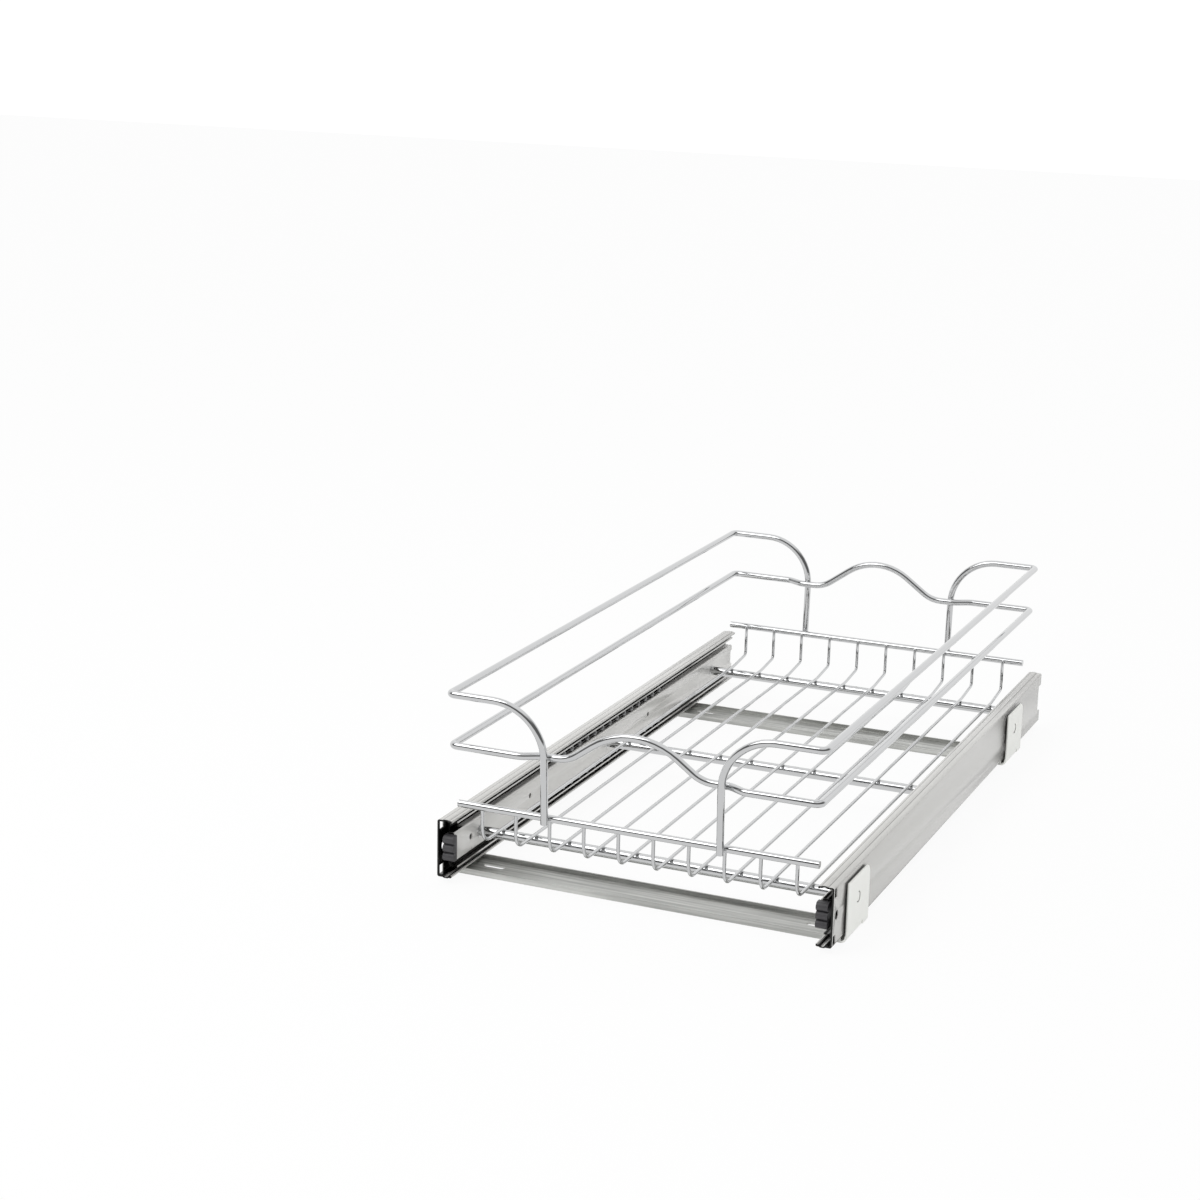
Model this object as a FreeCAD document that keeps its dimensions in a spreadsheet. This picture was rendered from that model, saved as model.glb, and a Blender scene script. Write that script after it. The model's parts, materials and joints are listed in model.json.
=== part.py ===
"""Pull-out wire basket on two ball-bearing slides, joined by two cross strips.

Millimetres. X runs across, Y from front (-) to back (+), Z up. The origin is at the middle of the
footprint, on the underside of the cross strips. At rest the basket is fully pushed in.
"""
import FreeCAD, Part
import Sketcher
import math
import os

from FreeCAD import Placement, Rotation, Vector

# Driving dimensions, in millimetres and degrees: alias, value, meaning
SIZES = [
    ("slide_length", 550.0, "length of the outer slide members"),
    ("slide_high", 42.7, "height of the outer slide members"),
    ("slide_thick", 11.0, "thickness of a slide, web to lips"),
    ("slide_span", 286.8, "distance over the webs of the two outer slide members"),
    ("member_sheet", 1.2, "sheet of the slide members"),
    ("lip_high", 2.2, "height of the outer members' lips"),
    ("bend_radius", 1.5, "outside radius of the slide members' bends"),
    ("small_race_gap", 3.3, "height between outer and intermediate flanges"),
    ("large_race_gap", 5.0, "height between intermediate and inner flanges"),
    ("small_ball", 4.0, "diameter of the small balls"),
    ("large_ball", 5.5, "diameter of the large balls"),
    ("ball_play", 0.06, "radial play of a ball in its race"),
    ("small_race_depth", 6.6, "depth of the small balls' centres behind the outer web"),
    ("large_race_depth", 7.3, "depth of the large balls' centres behind the outer web"),
    ("middle_web_depth", 2.5, "depth of the intermediate web behind the outer web's face"),
    ("middle_reach", 9.9, "depth of the intermediate flanges' edges"),
    ("inner_web_depth", 10.7, "depth of the inner web's face towards the basket"),
    ("inner_reach", 5.2, "depth at which the inner flanges end"),
    ("middle_recess", 12.0, "how far the intermediate member starts behind the outer's front"),
    ("middle_rear_recess", 3.0, "how far the intermediate member ends before the outer's rear"),
    ("inner_recess", 6.5, "how far the inner member starts behind the outer's front"),
    ("inner_rear_recess", 6.0, "how far the inner member ends before the outer's rear"),
    ("cage_sheet", 0.5, "sheet of the ball cages"),
    ("cage_play", 0.3, "play between a cage's web and the webs beside it"),
    ("cage_length", 210.0, "length of a ball cage"),
    ("cage_centre", 10.0, "place of the cages along the slide when it is shut"),
    ("cage_short", 0.7, "how far a cage's flange ends short of its balls' far side"),
    ("ball_hole_play", 0.15, "radial play of a ball in its cage"),
    ("ball_pitch", 14.5, "distance between balls"),
    ("ball_count", 14.0, "balls in one row"),
    ("web_hole", 6.5, "diameter of the hole near the outer member's front"),
    ("web_hole_back", 7.8, "that hole's centre behind the front edge"),
    ("cutout_wide", 5.5, "width of the cut-outs at the outer member's front"),
    ("cutout_high", 6.5, "height of these cut-outs"),
    ("cutout_back", 1.8, "front cut-outs' distance behind the front edge"),
    ("cutout_inset", 1.7, "front cut-outs' distance from the member's top and underside"),
    ("rear_notch_deep", 7.0, "depth of the outer member's rear notch"),
    ("rear_notch_high", 22.0, "height of the outer member's rear notch"),
    ("screw_hole_front", 4.5, "front hole in the inner web"),
    ("screw_hole_rear", 4.0, "two rearward holes in the inner web"),
    ("screw_front_back", 30.5, "front hole's centre behind the outer member's front"),
    ("screw_second_back", 127.2, "second hole's centre behind the outer member's front"),
    ("screw_third_back", 351.9, "third hole's centre behind the outer member's front"),
    ("plug_head", 6.3, "length of an end plug's head"),
    ("plug_wide", 8.1, "width of an end plug's head"),
    ("plug_web_play", 0.3, "play between an end plug and the intermediate web"),
    ("plug_flange_play", 0.3, "play between an end plug and the inner flanges"),
    ("plug_body", 18.0, "length of an end plug's body inside the inner member"),
    ("strip_sheet", 1.3, "sheet of the cross strips"),
    ("strip_wide", 32.0, "width of a cross strip"),
    ("strip_high", 4.2, "height of a cross strip, over its turned-up edges"),
    ("strip_bend", 4.0, "outside radius of the cross strip's end bends"),
    ("front_strip_back", 39.5, "front strip's middle behind the slide's front"),
    ("strip_distance", 409.5, "distance between the middles of the two strips"),
    ("slot_span", 240.0, "distance between the two slots of a strip"),
    ("slot_length", 16.0, "length of a slot, end to end"),
    ("slot_wide", 5.0, "width of a slot"),
    ("slot_offset", 3.0, "slots' distance behind the strip's middle"),
    ("tab_gap", 1.2, "gap between a tab and the outer web"),
    ("tab_wide", 46.0, "width of a tab along the slide"),
    ("tab_top", 41.7, "height of a tab's top edge above the strip's underside"),
    ("tab_wing_low", 1.6, "height of the tab wing's lower edge above the strip's underside"),
    ("tab_corner", 8.0, "radius of a tab's rear top corner"),
    ("tab_relief", 2.5, "width of the bend relief beside a tab's neck"),
    ("tab_relief_high", 4.5, "height of that bend relief's upper edge"),
    ("dimple", 9.0, "diameter of a tab's dimple"),
    ("dimple_wall", 0.56, "how much less the dimple's radius is on the outside"),
    ("rivet_offset", 6.5, "rivet's place behind the strip's middle"),
    ("rivet_up", 25.2, "rivet's height above the strip's underside"),
    ("rivet_shank", 3.2, "diameter of a rivet's shank"),
    ("rivet_head", 6.5, "diameter of a rivet's head"),
    ("rivet_head_high", 0.9, "height of a rivet's head"),
    ("rivet_play", 0.05, "radial play of a rivet"),
    ("rod", 5.2, "diameter of the basket's rods"),
    ("cross_rod", 7.4, "diameter of the cross rods under the floor"),
    ("wire", 2.5, "diameter of the floor wires"),
    ("weld_gap", 0.04, "distance at a weld between two round rods"),
    ("basket_lead", 4.1, "how far the basket's front face stands ahead of the slides"),
    ("basket_deep", 549.1, "depth of the basket over the tops of its side hoops"),
    ("rail_span", 268.0, "distance between the axes of the two top side rails"),
    ("overall_high", 140.7, "height of the top side rails' upper side"),
    ("post_span", 127.0, "distance between the axes of the two posts at one end"),
    ("post_foot", 54.8, "height of the posts' lower ends"),
    ("post_lean", 3.55, "how far a post leans outward from the end rail to its top"),
    ("post_bend", 37.5, "axis radius of the bend from post to top"),
    ("rail_corner", 4.5, "axis radius of the rails' corners seen from above"),
    ("ring_span", 264.0, "distance between the axes of the middle rail's two sides"),
    ("ring_high", 102.0, "height of the middle rail's axis"),
    ("joggle_near", 68.0, "where the middle rail turns outward beside a post, from the middle"),
    ("joggle_far", 80.0, "where it turns straight again, from the middle"),
    ("joggle_bend", 10.0, "axis radius of these two turns"),
    ("front_hump_rise", 22.5, "rise of the middle rail's front hump"),
    ("rear_hump_rise", 24.5, "rise of its rear hump"),
    ("hump_half", 56.0, "half-width of a hump"),
    ("hump_slope", 36.0, "slope of a hump's sides, in degrees"),
    ("hump_foot_bend", 25.0, "axis radius of the bends at a hump's feet"),
    ("end_rail_high", 57.9, "height of the end rails' axes"),
    ("end_rail_length", 261.0, "length of the end rails"),
    ("cross_rod_high", 25.2, "height of the cross rods' axes"),
    ("cross_inset", 37.7, "how far the outer cross rods lie inside the end rails"),
    ("wire_count", 10.0, "number of floor wires"),
    ("wire_pitch", 25.4, "distance between floor wires"),
    ("wire_top", 58.4, "height of the floor wires' upper ends"),
    ("wire_front_bend", 11.0, "axis radius of a floor wire's front bend"),
    ("wire_rear_bend", 4.0, "axis radius of a floor wire's rear bend"),
    ("wire_rise", 3.4, "rise of the floor towards the rear"),
    ("wire_rise_back", 4.0, "where it starts, behind the rear cross rod"),
    ("wire_rise_bend", 60.0, "axis radius where the rise starts"),
]


class Dim:
    """A length that carries its number and the sheet expression that gives it."""

    def __init__(self, number, text):
        self.number = number
        self.text = text

    def __add__(self, other):
        other = dim(other)
        return Dim(self.number + other.number, f"({self.text} + {other.text})")

    def __sub__(self, other):
        other = dim(other)
        return Dim(self.number - other.number, f"({self.text} - {other.text})")

    def __mul__(self, other):
        other = dim(other)
        return Dim(self.number * other.number, f"({self.text} * {other.text})")

    def __truediv__(self, other):
        other = dim(other)
        return Dim(self.number / other.number, f"({self.text} / {other.text})")

    def __neg__(self):
        return Dim(-self.number, f"(-1 * {self.text})")

    def __radd__(self, other):
        return dim(other) + self

    def __rsub__(self, other):
        return dim(other) - self

    def __rmul__(self, other):
        return dim(other) * self


def dim(value):
    """Return value as a Dim, so that plain numbers and lengths mix."""
    if isinstance(value, Dim):
        return value
    return Dim(float(value), f"({value})")


class SizeSheet:
    """The spreadsheet of driving dimensions, with one attribute for each alias."""

    def __init__(self, doc, sizes):
        sheet = doc.addObject("Spreadsheet::Sheet", "Sizes")
        for row, (alias, number, meaning) in enumerate(sizes, start=1):
            sheet.set(f"A{row}", alias)
            sheet.set(f"B{row}", str(number))
            sheet.set(f"C{row}", meaning)
            sheet.setAlias(f"B{row}", alias)
            setattr(self, alias, Dim(number, f"Sizes.{alias}"))


doc = FreeCAD.newDocument("WireBasket")
S = SizeSheet(doc, SIZES)
doc.recompute()

SIDES = (("left", -1), ("right", 1))

# Levels and depths that several pieces share
slide_low = S.strip_high
slide_middle = slide_low + S.slide_high / 2
basket_front = -(S.slide_length + S.basket_lead) / 2
slide_front = basket_front + S.basket_lead
slide_rear = slide_front + S.slide_length
slide_centre = slide_front + S.slide_length / 2
cage_place = slide_centre + S.cage_centre
web_face = S.slide_span / 2
middle_flange = S.member_sheet + S.small_race_gap
inner_flange = middle_flange + S.member_sheet + S.large_race_gap
inner_face = web_face - S.inner_web_depth
hoop_front = basket_front + S.rod / 2
hoop_rear = basket_front + S.basket_deep - S.rod / 2
basket_middle = (hoop_front + hoop_rear) / 2
rail_high = S.overall_high - S.rod / 2
rail_step = S.rod + S.weld_gap
end_rail_front = hoop_front + S.post_lean + rail_step
end_rail_rear = hoop_rear - S.post_lean - rail_step
wire_step = S.rod / 2 + S.wire / 2 + S.weld_gap
wire_front = end_rail_front + wire_step
wire_rear = end_rail_rear - wire_step
cross_front = end_rail_front + S.cross_inset
cross_rear = end_rail_rear - S.cross_inset
floor_high = S.cross_rod_high + S.cross_rod / 2 + S.wire / 2 + S.weld_gap
front_strip = slide_front + S.front_strip_back
rear_strip = front_strip + S.strip_distance


def bind(thing, prop, value):
    """Tie one property of a document object to the sheet."""
    thing.setExpression(prop, dim(value).text)


def shift(thing, x=0, y=0, z=0):
    """Tie an object's position to the sheet."""
    for axis, value in (("x", x), ("y", y), ("z", z)):
        bind(thing, f"Placement.Base.{axis}", value)


# Sketch helpers

def new_body(label, y=0, z=0):
    """Start a body whose own origin lies at y, z."""
    body = doc.addObject("PartDesign::Body", label)
    body.Label = label
    shift(body, 0, y, z)
    return body


def new_sketch(body, name, plane, offset=0):
    """Start a sketch on one of the body's own planes, moved along its normal."""
    sketch = body.newObject("Sketcher::SketchObject", name)
    support = [feature for feature in body.Origin.OriginFeatures if feature.Role == plane][0]
    sketch.AttachmentSupport = (support, [""])
    sketch.MapMode = "FlatFace"
    bind(sketch, "AttachmentOffset.Base.z", offset)
    return sketch


def pin(sketch, index, end, x, y):
    """Fix a sketch point at x, y."""
    for kind, value in (("DistanceX", x), ("DistanceY", y)):
        value = dim(value)
        number = sketch.addConstraint(Sketcher.Constraint(kind, -1, 1, index, end, value.number))
        sketch.setExpression(f"Constraints[{number}]", value.text)


def add_outline(sketch, points):
    """Draw a closed outline of straight lines through points."""
    points = [(dim(x), dim(y)) for x, y in points]
    first = sketch.GeometryCount
    count = len(points)
    for i, (x, y) in enumerate(points):
        end_x, end_y = points[(i + 1) % count]
        start = Vector(x.number, y.number, 0)
        end = Vector(end_x.number, end_y.number, 0)
        sketch.addGeometry(Part.LineSegment(start, end), False)
    for i in range(count):
        follower = first + (i + 1) % count
        sketch.addConstraint(Sketcher.Constraint("Coincident", first + i, 2, follower, 1))
    for i, (x, y) in enumerate(points):
        pin(sketch, first + i, 1, x, y)


def add_rectangle(sketch, x_low, x_high, y_low, y_high):
    """Draw a rectangle."""
    add_outline(sketch, [(x_low, y_low), (x_high, y_low), (x_high, y_high), (x_low, y_high)])


def add_circle(sketch, x, y, radius):
    """Draw a circle."""
    x, y, radius = dim(x), dim(y), dim(radius)
    circle = Part.Circle(Vector(x.number, y.number, 0), Vector(0, 0, 1), radius.number)
    index = sketch.addGeometry(circle, False)
    number = sketch.addConstraint(Sketcher.Constraint("Radius", index, radius.number))
    sketch.setExpression(f"Constraints[{number}]", radius.text)
    pin(sketch, index, 3, x, y)


def add_slot(sketch, x, y, length, width):
    """Draw a slot with round ends, along the sketch's X."""
    x, y, radius = dim(x), dim(y), dim(width) / 2
    half = dim(length) / 2 - radius
    left, right = x - half, x + half
    turn = math.pi / 2
    normal = Vector(0, 0, 1)
    ends = []
    for centre, start in ((left, turn), (right, 3 * turn)):
        circle = Part.Circle(Vector(centre.number, y.number, 0), normal, radius.number)
        ends.append(sketch.addGeometry(Part.ArcOfCircle(circle, start, start + 2 * turn), False))
    low, high = y.number - radius.number, y.number + radius.number
    corners = [Vector(left.number, low, 0), Vector(right.number, low, 0)]
    lower = sketch.addGeometry(Part.LineSegment(*corners), False)
    corners = [Vector(right.number, high, 0), Vector(left.number, high, 0)]
    upper = sketch.addGeometry(Part.LineSegment(*corners), False)
    sketch.addConstraint(Sketcher.Constraint("Tangent", ends[0], 2, lower, 1))
    sketch.addConstraint(Sketcher.Constraint("Tangent", lower, 2, ends[1], 1))
    sketch.addConstraint(Sketcher.Constraint("Tangent", ends[1], 2, upper, 1))
    sketch.addConstraint(Sketcher.Constraint("Tangent", upper, 2, ends[0], 1))
    pin(sketch, ends[0], 3, left, y)
    pin(sketch, ends[1], 3, right, y)
    number = sketch.addConstraint(Sketcher.Constraint("Radius", ends[0], radius.number))
    sketch.setExpression(f"Constraints[{number}]", radius.text)


# Feature helpers

def pad(body, sketch, length, symmetric=False, backwards=False):
    """Add material along a sketch's normal."""
    feature = body.newObject("PartDesign::Pad", sketch.Name + "_pad")
    feature.Profile = sketch
    feature.SideType = "Symmetric" if symmetric else "One side"
    feature.Reversed = backwards
    bind(feature, "Length", length)
    doc.recompute()
    return feature


def pocket(body, sketch, length=None, backwards=False):
    """Cut along a sketch's normal: right through both ways, or to a length one way."""
    feature = body.newObject("PartDesign::Pocket", sketch.Name + "_pocket")
    feature.Profile = sketch
    if length is None:
        feature.Type = "ThroughAll"
        feature.SideType = "Symmetric"
    else:
        feature.SideType = "One side"
        feature.Reversed = backwards
        bind(feature, "Length", length)
    before = feature.BaseFeature.Shape.Volume
    doc.recompute()
    if not feature.Shape.Volume < before:
        raise RuntimeError(f"{feature.Name} cuts nothing")
    return feature


def edges_along(feature, direction, spots):
    """Name the straight edges along a direction, 'x', 'y' or 'z', that pass through spots."""
    others = [axis for axis in "xyz" if axis != direction]
    names = []
    for number, edge in enumerate(feature.Shape.Edges, start=1):
        start, end = edge.Vertexes[0].Point, edge.Vertexes[-1].Point
        if abs(getattr(start, direction) - getattr(end, direction)) < 1e-6:
            continue
        place = [getattr(start, axis) for axis in others]
        if any(abs(getattr(end, axis) - p) > 1e-6 for axis, p in zip(others, place)):
            continue
        for spot in spots:
            wanted = [dim(value).number for value in spot]
            if all(abs(p - w) < 1e-5 for p, w in zip(place, wanted)):
                names.append(f"Edge{number}")
    return names


def round_edges(body, base, direction, spots, radius):
    """Round the edges along a direction that pass through spots."""
    names = edges_along(base, direction, spots)
    if len(names) < len(spots):
        raise RuntimeError(f"{base.Name}: found {len(names)} of {len(spots)} edges")
    feature = body.newObject("PartDesign::Fillet", base.Name + "_round")
    feature.Base = (base, names)
    bind(feature, "Radius", radius)
    doc.recompute()
    return feature


# Slide members

def depth_x(sign, depth):
    """X of a point that lies depth behind an outer web's outside face."""
    return sign * (web_face - depth)


def member_body(label, front, rear):
    """Start a slide member's body, with its own origin midway along it and on the slide's axis."""
    return new_body(label, (front + rear) / 2, slide_middle)


def half_levels(level):
    """A level counted from the slide's underside, as heights below and above the slide's axis."""
    above = S.slide_high / 2 - level
    return -above, above


def add_channel(body, name, sign, web, edge, level, length, lip=None):
    """Pad a channel section: its web's face at depth web, its flanges running to depth edge."""
    sheet = S.member_sheet
    inward = 1 if edge.number > web.number else -1
    low, high = half_levels(level)
    inner_low, inner_high = half_levels(level + sheet)
    face = depth_x(sign, web)
    back = depth_x(sign, web + inward * sheet)
    tip = depth_x(sign, edge)
    section = new_sketch(body, name, "XZ_Plane")
    if lip is None:
        ends = [(tip, low), (tip, inner_low)], [(tip, inner_high), (tip, high)]
    else:
        lip_low, lip_high = half_levels(level + lip)
        lip_back = depth_x(sign, edge - inward * sheet)
        lower = [(tip, low), (tip, lip_low), (lip_back, lip_low), (lip_back, inner_low)]
        upper = [(lip_back, inner_high), (lip_back, lip_high), (tip, lip_high), (tip, high)]
        ends = lower, upper
    outline = [(face, low)] + ends[0] + [(back, inner_low), (back, inner_high)] + ends[1]
    add_outline(section, outline + [(face, high)])
    solid = pad(body, section, length, symmetric=True)
    solid = round_edges(body, solid, "y", [(face, low), (face, high)], S.bend_radius)
    inside = S.bend_radius - sheet
    return round_edges(body, solid, "y", [(back, inner_low), (back, inner_high)], inside)


def cut_races(body, name, sign, depth, level, ball):
    """Roll the two ball races, below and above, into a member's flanges."""
    races = new_sketch(body, name, "XZ_Plane")
    for height in half_levels(level):
        add_circle(races, depth_x(sign, depth), height, ball / 2 + S.ball_play)
    return pocket(body, races)


def make_outer_member(name, sign):
    """The fixed member, with lips, front cut-outs, a hole and a rear notch."""
    label = f"outer_member_{name}"
    body = member_body(label, slide_front, slide_rear)
    end = S.slide_length / 2
    add_channel(body, label + "_section", sign, dim(0), S.slide_thick, dim(0), S.slide_length,
                S.lip_high)
    race = S.member_sheet + S.small_race_gap / 2
    cut_races(body, label + "_races", sign, S.small_race_depth, race, S.small_ball)
    holes = new_sketch(body, label + "_holes", "YZ_Plane")
    add_circle(holes, S.web_hole_back - end, 0, S.web_hole / 2)
    for strip in (front_strip, rear_strip):
        rivet_y = strip + S.rivet_offset - slide_centre
        add_circle(holes, rivet_y, S.rivet_up - slide_middle, S.rivet_shank / 2 + S.rivet_play)
    y_low = S.cutout_back - end
    y_high = y_low + S.cutout_wide
    near_low, near_high = half_levels(S.cutout_inset)
    far_low, far_high = half_levels(S.cutout_inset + S.cutout_high)
    add_rectangle(holes, y_low, y_high, near_low, far_low)
    add_rectangle(holes, y_low, y_high, far_high, near_high)
    notch_low = end - S.rear_notch_deep
    notch_half = S.rear_notch_high / 2
    add_rectangle(holes, notch_low, end + S.rear_notch_deep, -notch_half, notch_half)
    pocket(body, holes)
    return body


def make_intermediate_member(name, sign):
    """The member between, with small races outside and large races inside."""
    label = f"intermediate_member_{name}"
    front = slide_front + S.middle_recess
    rear = slide_rear - S.middle_rear_recess
    body = member_body(label, front, rear)
    add_channel(body, label + "_section", sign, S.middle_web_depth, S.middle_reach, middle_flange,
                rear - front)
    race = S.member_sheet + S.small_race_gap / 2
    cut_races(body, label + "_small", sign, S.small_race_depth, race, S.small_ball)
    race = middle_flange + S.member_sheet + S.large_race_gap / 2
    cut_races(body, label + "_large", sign, S.large_race_depth, race, S.large_ball)
    return body


def make_inner_member(name, sign):
    """The member that carries the basket, with three holes in its web."""
    label = f"inner_member_{name}"
    front = slide_front + S.inner_recess
    rear = slide_rear - S.inner_rear_recess
    middle = (front + rear) / 2
    body = member_body(label, front, rear)
    add_channel(body, label + "_section", sign, S.inner_web_depth, S.inner_reach, inner_flange,
                rear - front)
    race = inner_flange - S.large_race_gap / 2
    cut_races(body, label + "_races", sign, S.large_race_depth, race, S.large_ball)
    holes = new_sketch(body, label + "_holes", "YZ_Plane")
    add_circle(holes, slide_front + S.screw_front_back - middle, 0, S.screw_hole_front / 2)
    for back in (S.screw_second_back, S.screw_third_back):
        add_circle(holes, slide_front + back - middle, 0, S.screw_hole_rear / 2)
    pocket(body, holes)
    return body


# Ball cages and balls

def ball_places():
    """Places of one row's balls along the slide, from the cage's middle."""
    count = int(S.ball_count.number)
    return [S.ball_pitch * (i - (count - 1) / 2) for i in range(count)]


def make_cage(label, sign, web, depth, level, ball):
    """A ball cage: a thin channel whose flanges hold the two rows of balls."""
    body = new_body(label, cage_place, slide_middle)
    sheet = S.cage_sheet
    low, high = half_levels(level - sheet / 2)
    inner_low, inner_high = half_levels(level + sheet / 2)
    face, back = depth_x(sign, web), depth_x(sign, web + sheet)
    tip = depth_x(sign, depth + ball / 2 - S.cage_short)
    section = new_sketch(body, label + "_section", "XZ_Plane")
    lower = [(face, low), (tip, low), (tip, inner_low), (back, inner_low)]
    upper = [(back, inner_high), (tip, inner_high), (tip, high), (face, high)]
    add_outline(section, lower + upper)
    pad(body, section, S.cage_length, symmetric=True)
    holes = new_sketch(body, label + "_holes", "XY_Plane")
    for along in ball_places():
        add_circle(holes, depth_x(sign, depth), along, ball / 2 + S.ball_hole_play)
    pocket(body, holes)
    return body


def make_balls(label, sign, depth, level, ball):
    """The balls of one cage, as separate solids."""
    spots = [(along, height) for height in half_levels(level) for along in ball_places()]
    balls = []
    for number, (along, height) in enumerate(spots, start=1):
        sphere = doc.addObject("Part::Sphere", f"{label}_{number:02d}")
        bind(sphere, "Radius", ball / 2)
        shift(sphere, depth_x(sign, depth), along, height)
        balls.append(sphere)
    group = doc.addObject("Part::Compound", label)
    group.Label = label
    group.Links = balls
    shift(group, 0, cage_place, slide_middle)
    return group


def make_ball_parts(name, sign):
    """Both cages of one slide, each with its balls."""
    small_level = S.member_sheet + S.small_race_gap / 2
    large_level = middle_flange + S.member_sheet + S.large_race_gap / 2
    small_web = S.member_sheet + S.cage_play
    large_web = S.middle_web_depth + S.member_sheet + S.cage_play
    small = (sign, small_web, S.small_race_depth, small_level, S.small_ball)
    large = (sign, large_web, S.large_race_depth, large_level, S.large_ball)
    return [
        make_cage(f"small_ball_cage_{name}", *small),
        make_cage(f"large_ball_cage_{name}", *large),
        make_balls(f"small_balls_{name}", sign, S.small_race_depth, small_level, S.small_ball),
        make_balls(f"large_balls_{name}", sign, S.large_race_depth, large_level, S.large_ball),
    ]


# End plugs

def make_end_plug(name, sign):
    """A plastic plug: a three-lobed head before the inner member, and a body inside it."""
    label = f"end_plug_{name}"
    head_back = S.inner_recess
    body = new_body(label, slide_front, slide_middle)
    outside = S.middle_web_depth + S.member_sheet + S.plug_web_play
    near, far = depth_x(sign, outside), depth_x(sign, outside + S.plug_wide)
    half_high = S.slide_high / 2 - inner_flange - S.member_sheet - S.plug_flange_play
    lobe = half_high / 3
    base = new_sketch(body, label + "_base", "YZ_Plane", near)
    add_rectangle(base, lobe, S.plug_head, -half_high, half_high)
    toward_basket = sign > 0
    pad(body, base, S.plug_wide, backwards=toward_basket)
    for number, height in enumerate((-2 * lobe, dim(0), 2 * lobe), start=1):
        lobes = new_sketch(body, f"{label}_lobe_{number}", "YZ_Plane", near)
        add_circle(lobes, lobe, height, lobe)
        pad(body, lobes, S.plug_wide, backwards=toward_basket)
    stem = new_sketch(body, label + "_stem", "YZ_Plane", near)
    stem_end = head_back + S.plug_body
    add_rectangle(stem, S.plug_head, stem_end, -half_high, half_high)
    stem_wide = S.inner_web_depth - S.member_sheet - outside - S.plug_flange_play
    pad(body, stem, stem_wide, backwards=toward_basket)
    return body


# Cross strips and their rivets

def make_cross_strip(label, y):
    """A channel strip under both slides, its ends bent up into riveted tabs."""
    body = new_body(label, y)
    sheet = S.strip_sheet
    inside = web_face + S.tab_gap
    outside = inside + sheet
    half = S.strip_wide / 2
    section = new_sketch(body, label + "_section", "XZ_Plane")
    outer = [(-outside, S.tab_top), (-outside, 0), (outside, 0), (outside, S.tab_top)]
    inner = [(inside, S.tab_top), (inside, sheet), (-inside, sheet), (-inside, S.tab_top)]
    add_outline(section, outer + inner)
    solid = pad(body, section, S.strip_wide, symmetric=True)
    solid = round_edges(body, solid, "y", [(-outside, 0), (outside, 0)], S.strip_bend)
    bends = [(-inside, sheet), (inside, sheet)]
    round_edges(body, solid, "y", bends, S.strip_bend - sheet)

    edges = new_sketch(body, label + "_edges", "XY_Plane")
    edge_half = outside - S.strip_bend
    add_rectangle(edges, -edge_half, edge_half, -half, -half + sheet)
    add_rectangle(edges, -edge_half, edge_half, half - sheet, half)
    pad(body, edges, S.strip_high)

    for name, sign in SIDES:
        wing = new_sketch(body, f"{label}_wing_{name}", "YZ_Plane", sign * inside)
        wing_end = S.tab_wide - half
        wing_foot = half + S.tab_relief
        add_outline(wing, [
            (half - sheet, S.tab_relief_high), (wing_foot, S.tab_relief_high),
            (wing_foot, S.tab_wing_low), (wing_end, S.tab_wing_low),
            (wing_end, S.tab_top), (half - sheet, S.tab_top),
        ])
        solid = pad(body, wing, sheet, backwards=sign < 0)
        round_edges(body, solid, "x", [(wing_end, S.tab_top)], S.tab_corner)

        boss = new_sketch(body, f"{label}_boss_{name}", "YZ_Plane", sign * web_face)
        add_circle(boss, S.rivet_offset, S.rivet_up, S.dimple / 2)
        pad(body, boss, S.tab_gap, backwards=sign < 0)
        recess = new_sketch(body, f"{label}_recess_{name}", "YZ_Plane", sign * outside)
        add_circle(recess, S.rivet_offset, S.rivet_up, S.dimple / 2 - S.dimple_wall)
        pocket(body, recess, S.tab_gap, backwards=sign < 0)

    holes = new_sketch(body, label + "_rivet_holes", "YZ_Plane")
    add_circle(holes, S.rivet_offset, S.rivet_up, S.rivet_shank / 2 + S.rivet_play)
    pocket(body, holes)
    slots = new_sketch(body, label + "_slots", "XY_Plane")
    for sign in (-1, 1):
        add_slot(slots, sign * S.slot_span / 2, S.slot_offset, S.slot_length, S.slot_wide)
    pocket(body, slots)
    return body


def make_rivets():
    """Four rivets through the tabs' dimples and the outer webs."""
    rivets = []
    for strip_name, y in (("front", front_strip), ("rear", rear_strip)):
        for name, sign in SIDES:
            shank = doc.addObject("Part::Cylinder", f"shank_{strip_name}_{name}")
            bind(shank, "Radius", S.rivet_shank / 2)
            bind(shank, "Height", S.member_sheet + S.strip_sheet)
            head = doc.addObject("Part::Cylinder", f"head_{strip_name}_{name}")
            bind(head, "Radius", S.rivet_head / 2)
            bind(head, "Height", S.rivet_head_high)
            for piece, depth in ((shank, S.member_sheet), (head, -S.strip_sheet)):
                piece.Placement.Rotation = Rotation(Vector(0, 1, 0), 90 * sign)
                shift(piece, depth_x(sign, depth), y + S.rivet_offset, S.rivet_up)
            rivet = doc.addObject("Part::Fuse", f"rivet_{strip_name}_{name}")
            rivet.Base = shank
            rivet.Tool = head
            rivets.append(rivet)
    group = doc.addObject("Part::Compound", "mounting_rivets")
    group.Label = "mounting_rivets"
    group.Links = rivets
    return group


# Rods and wires

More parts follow.
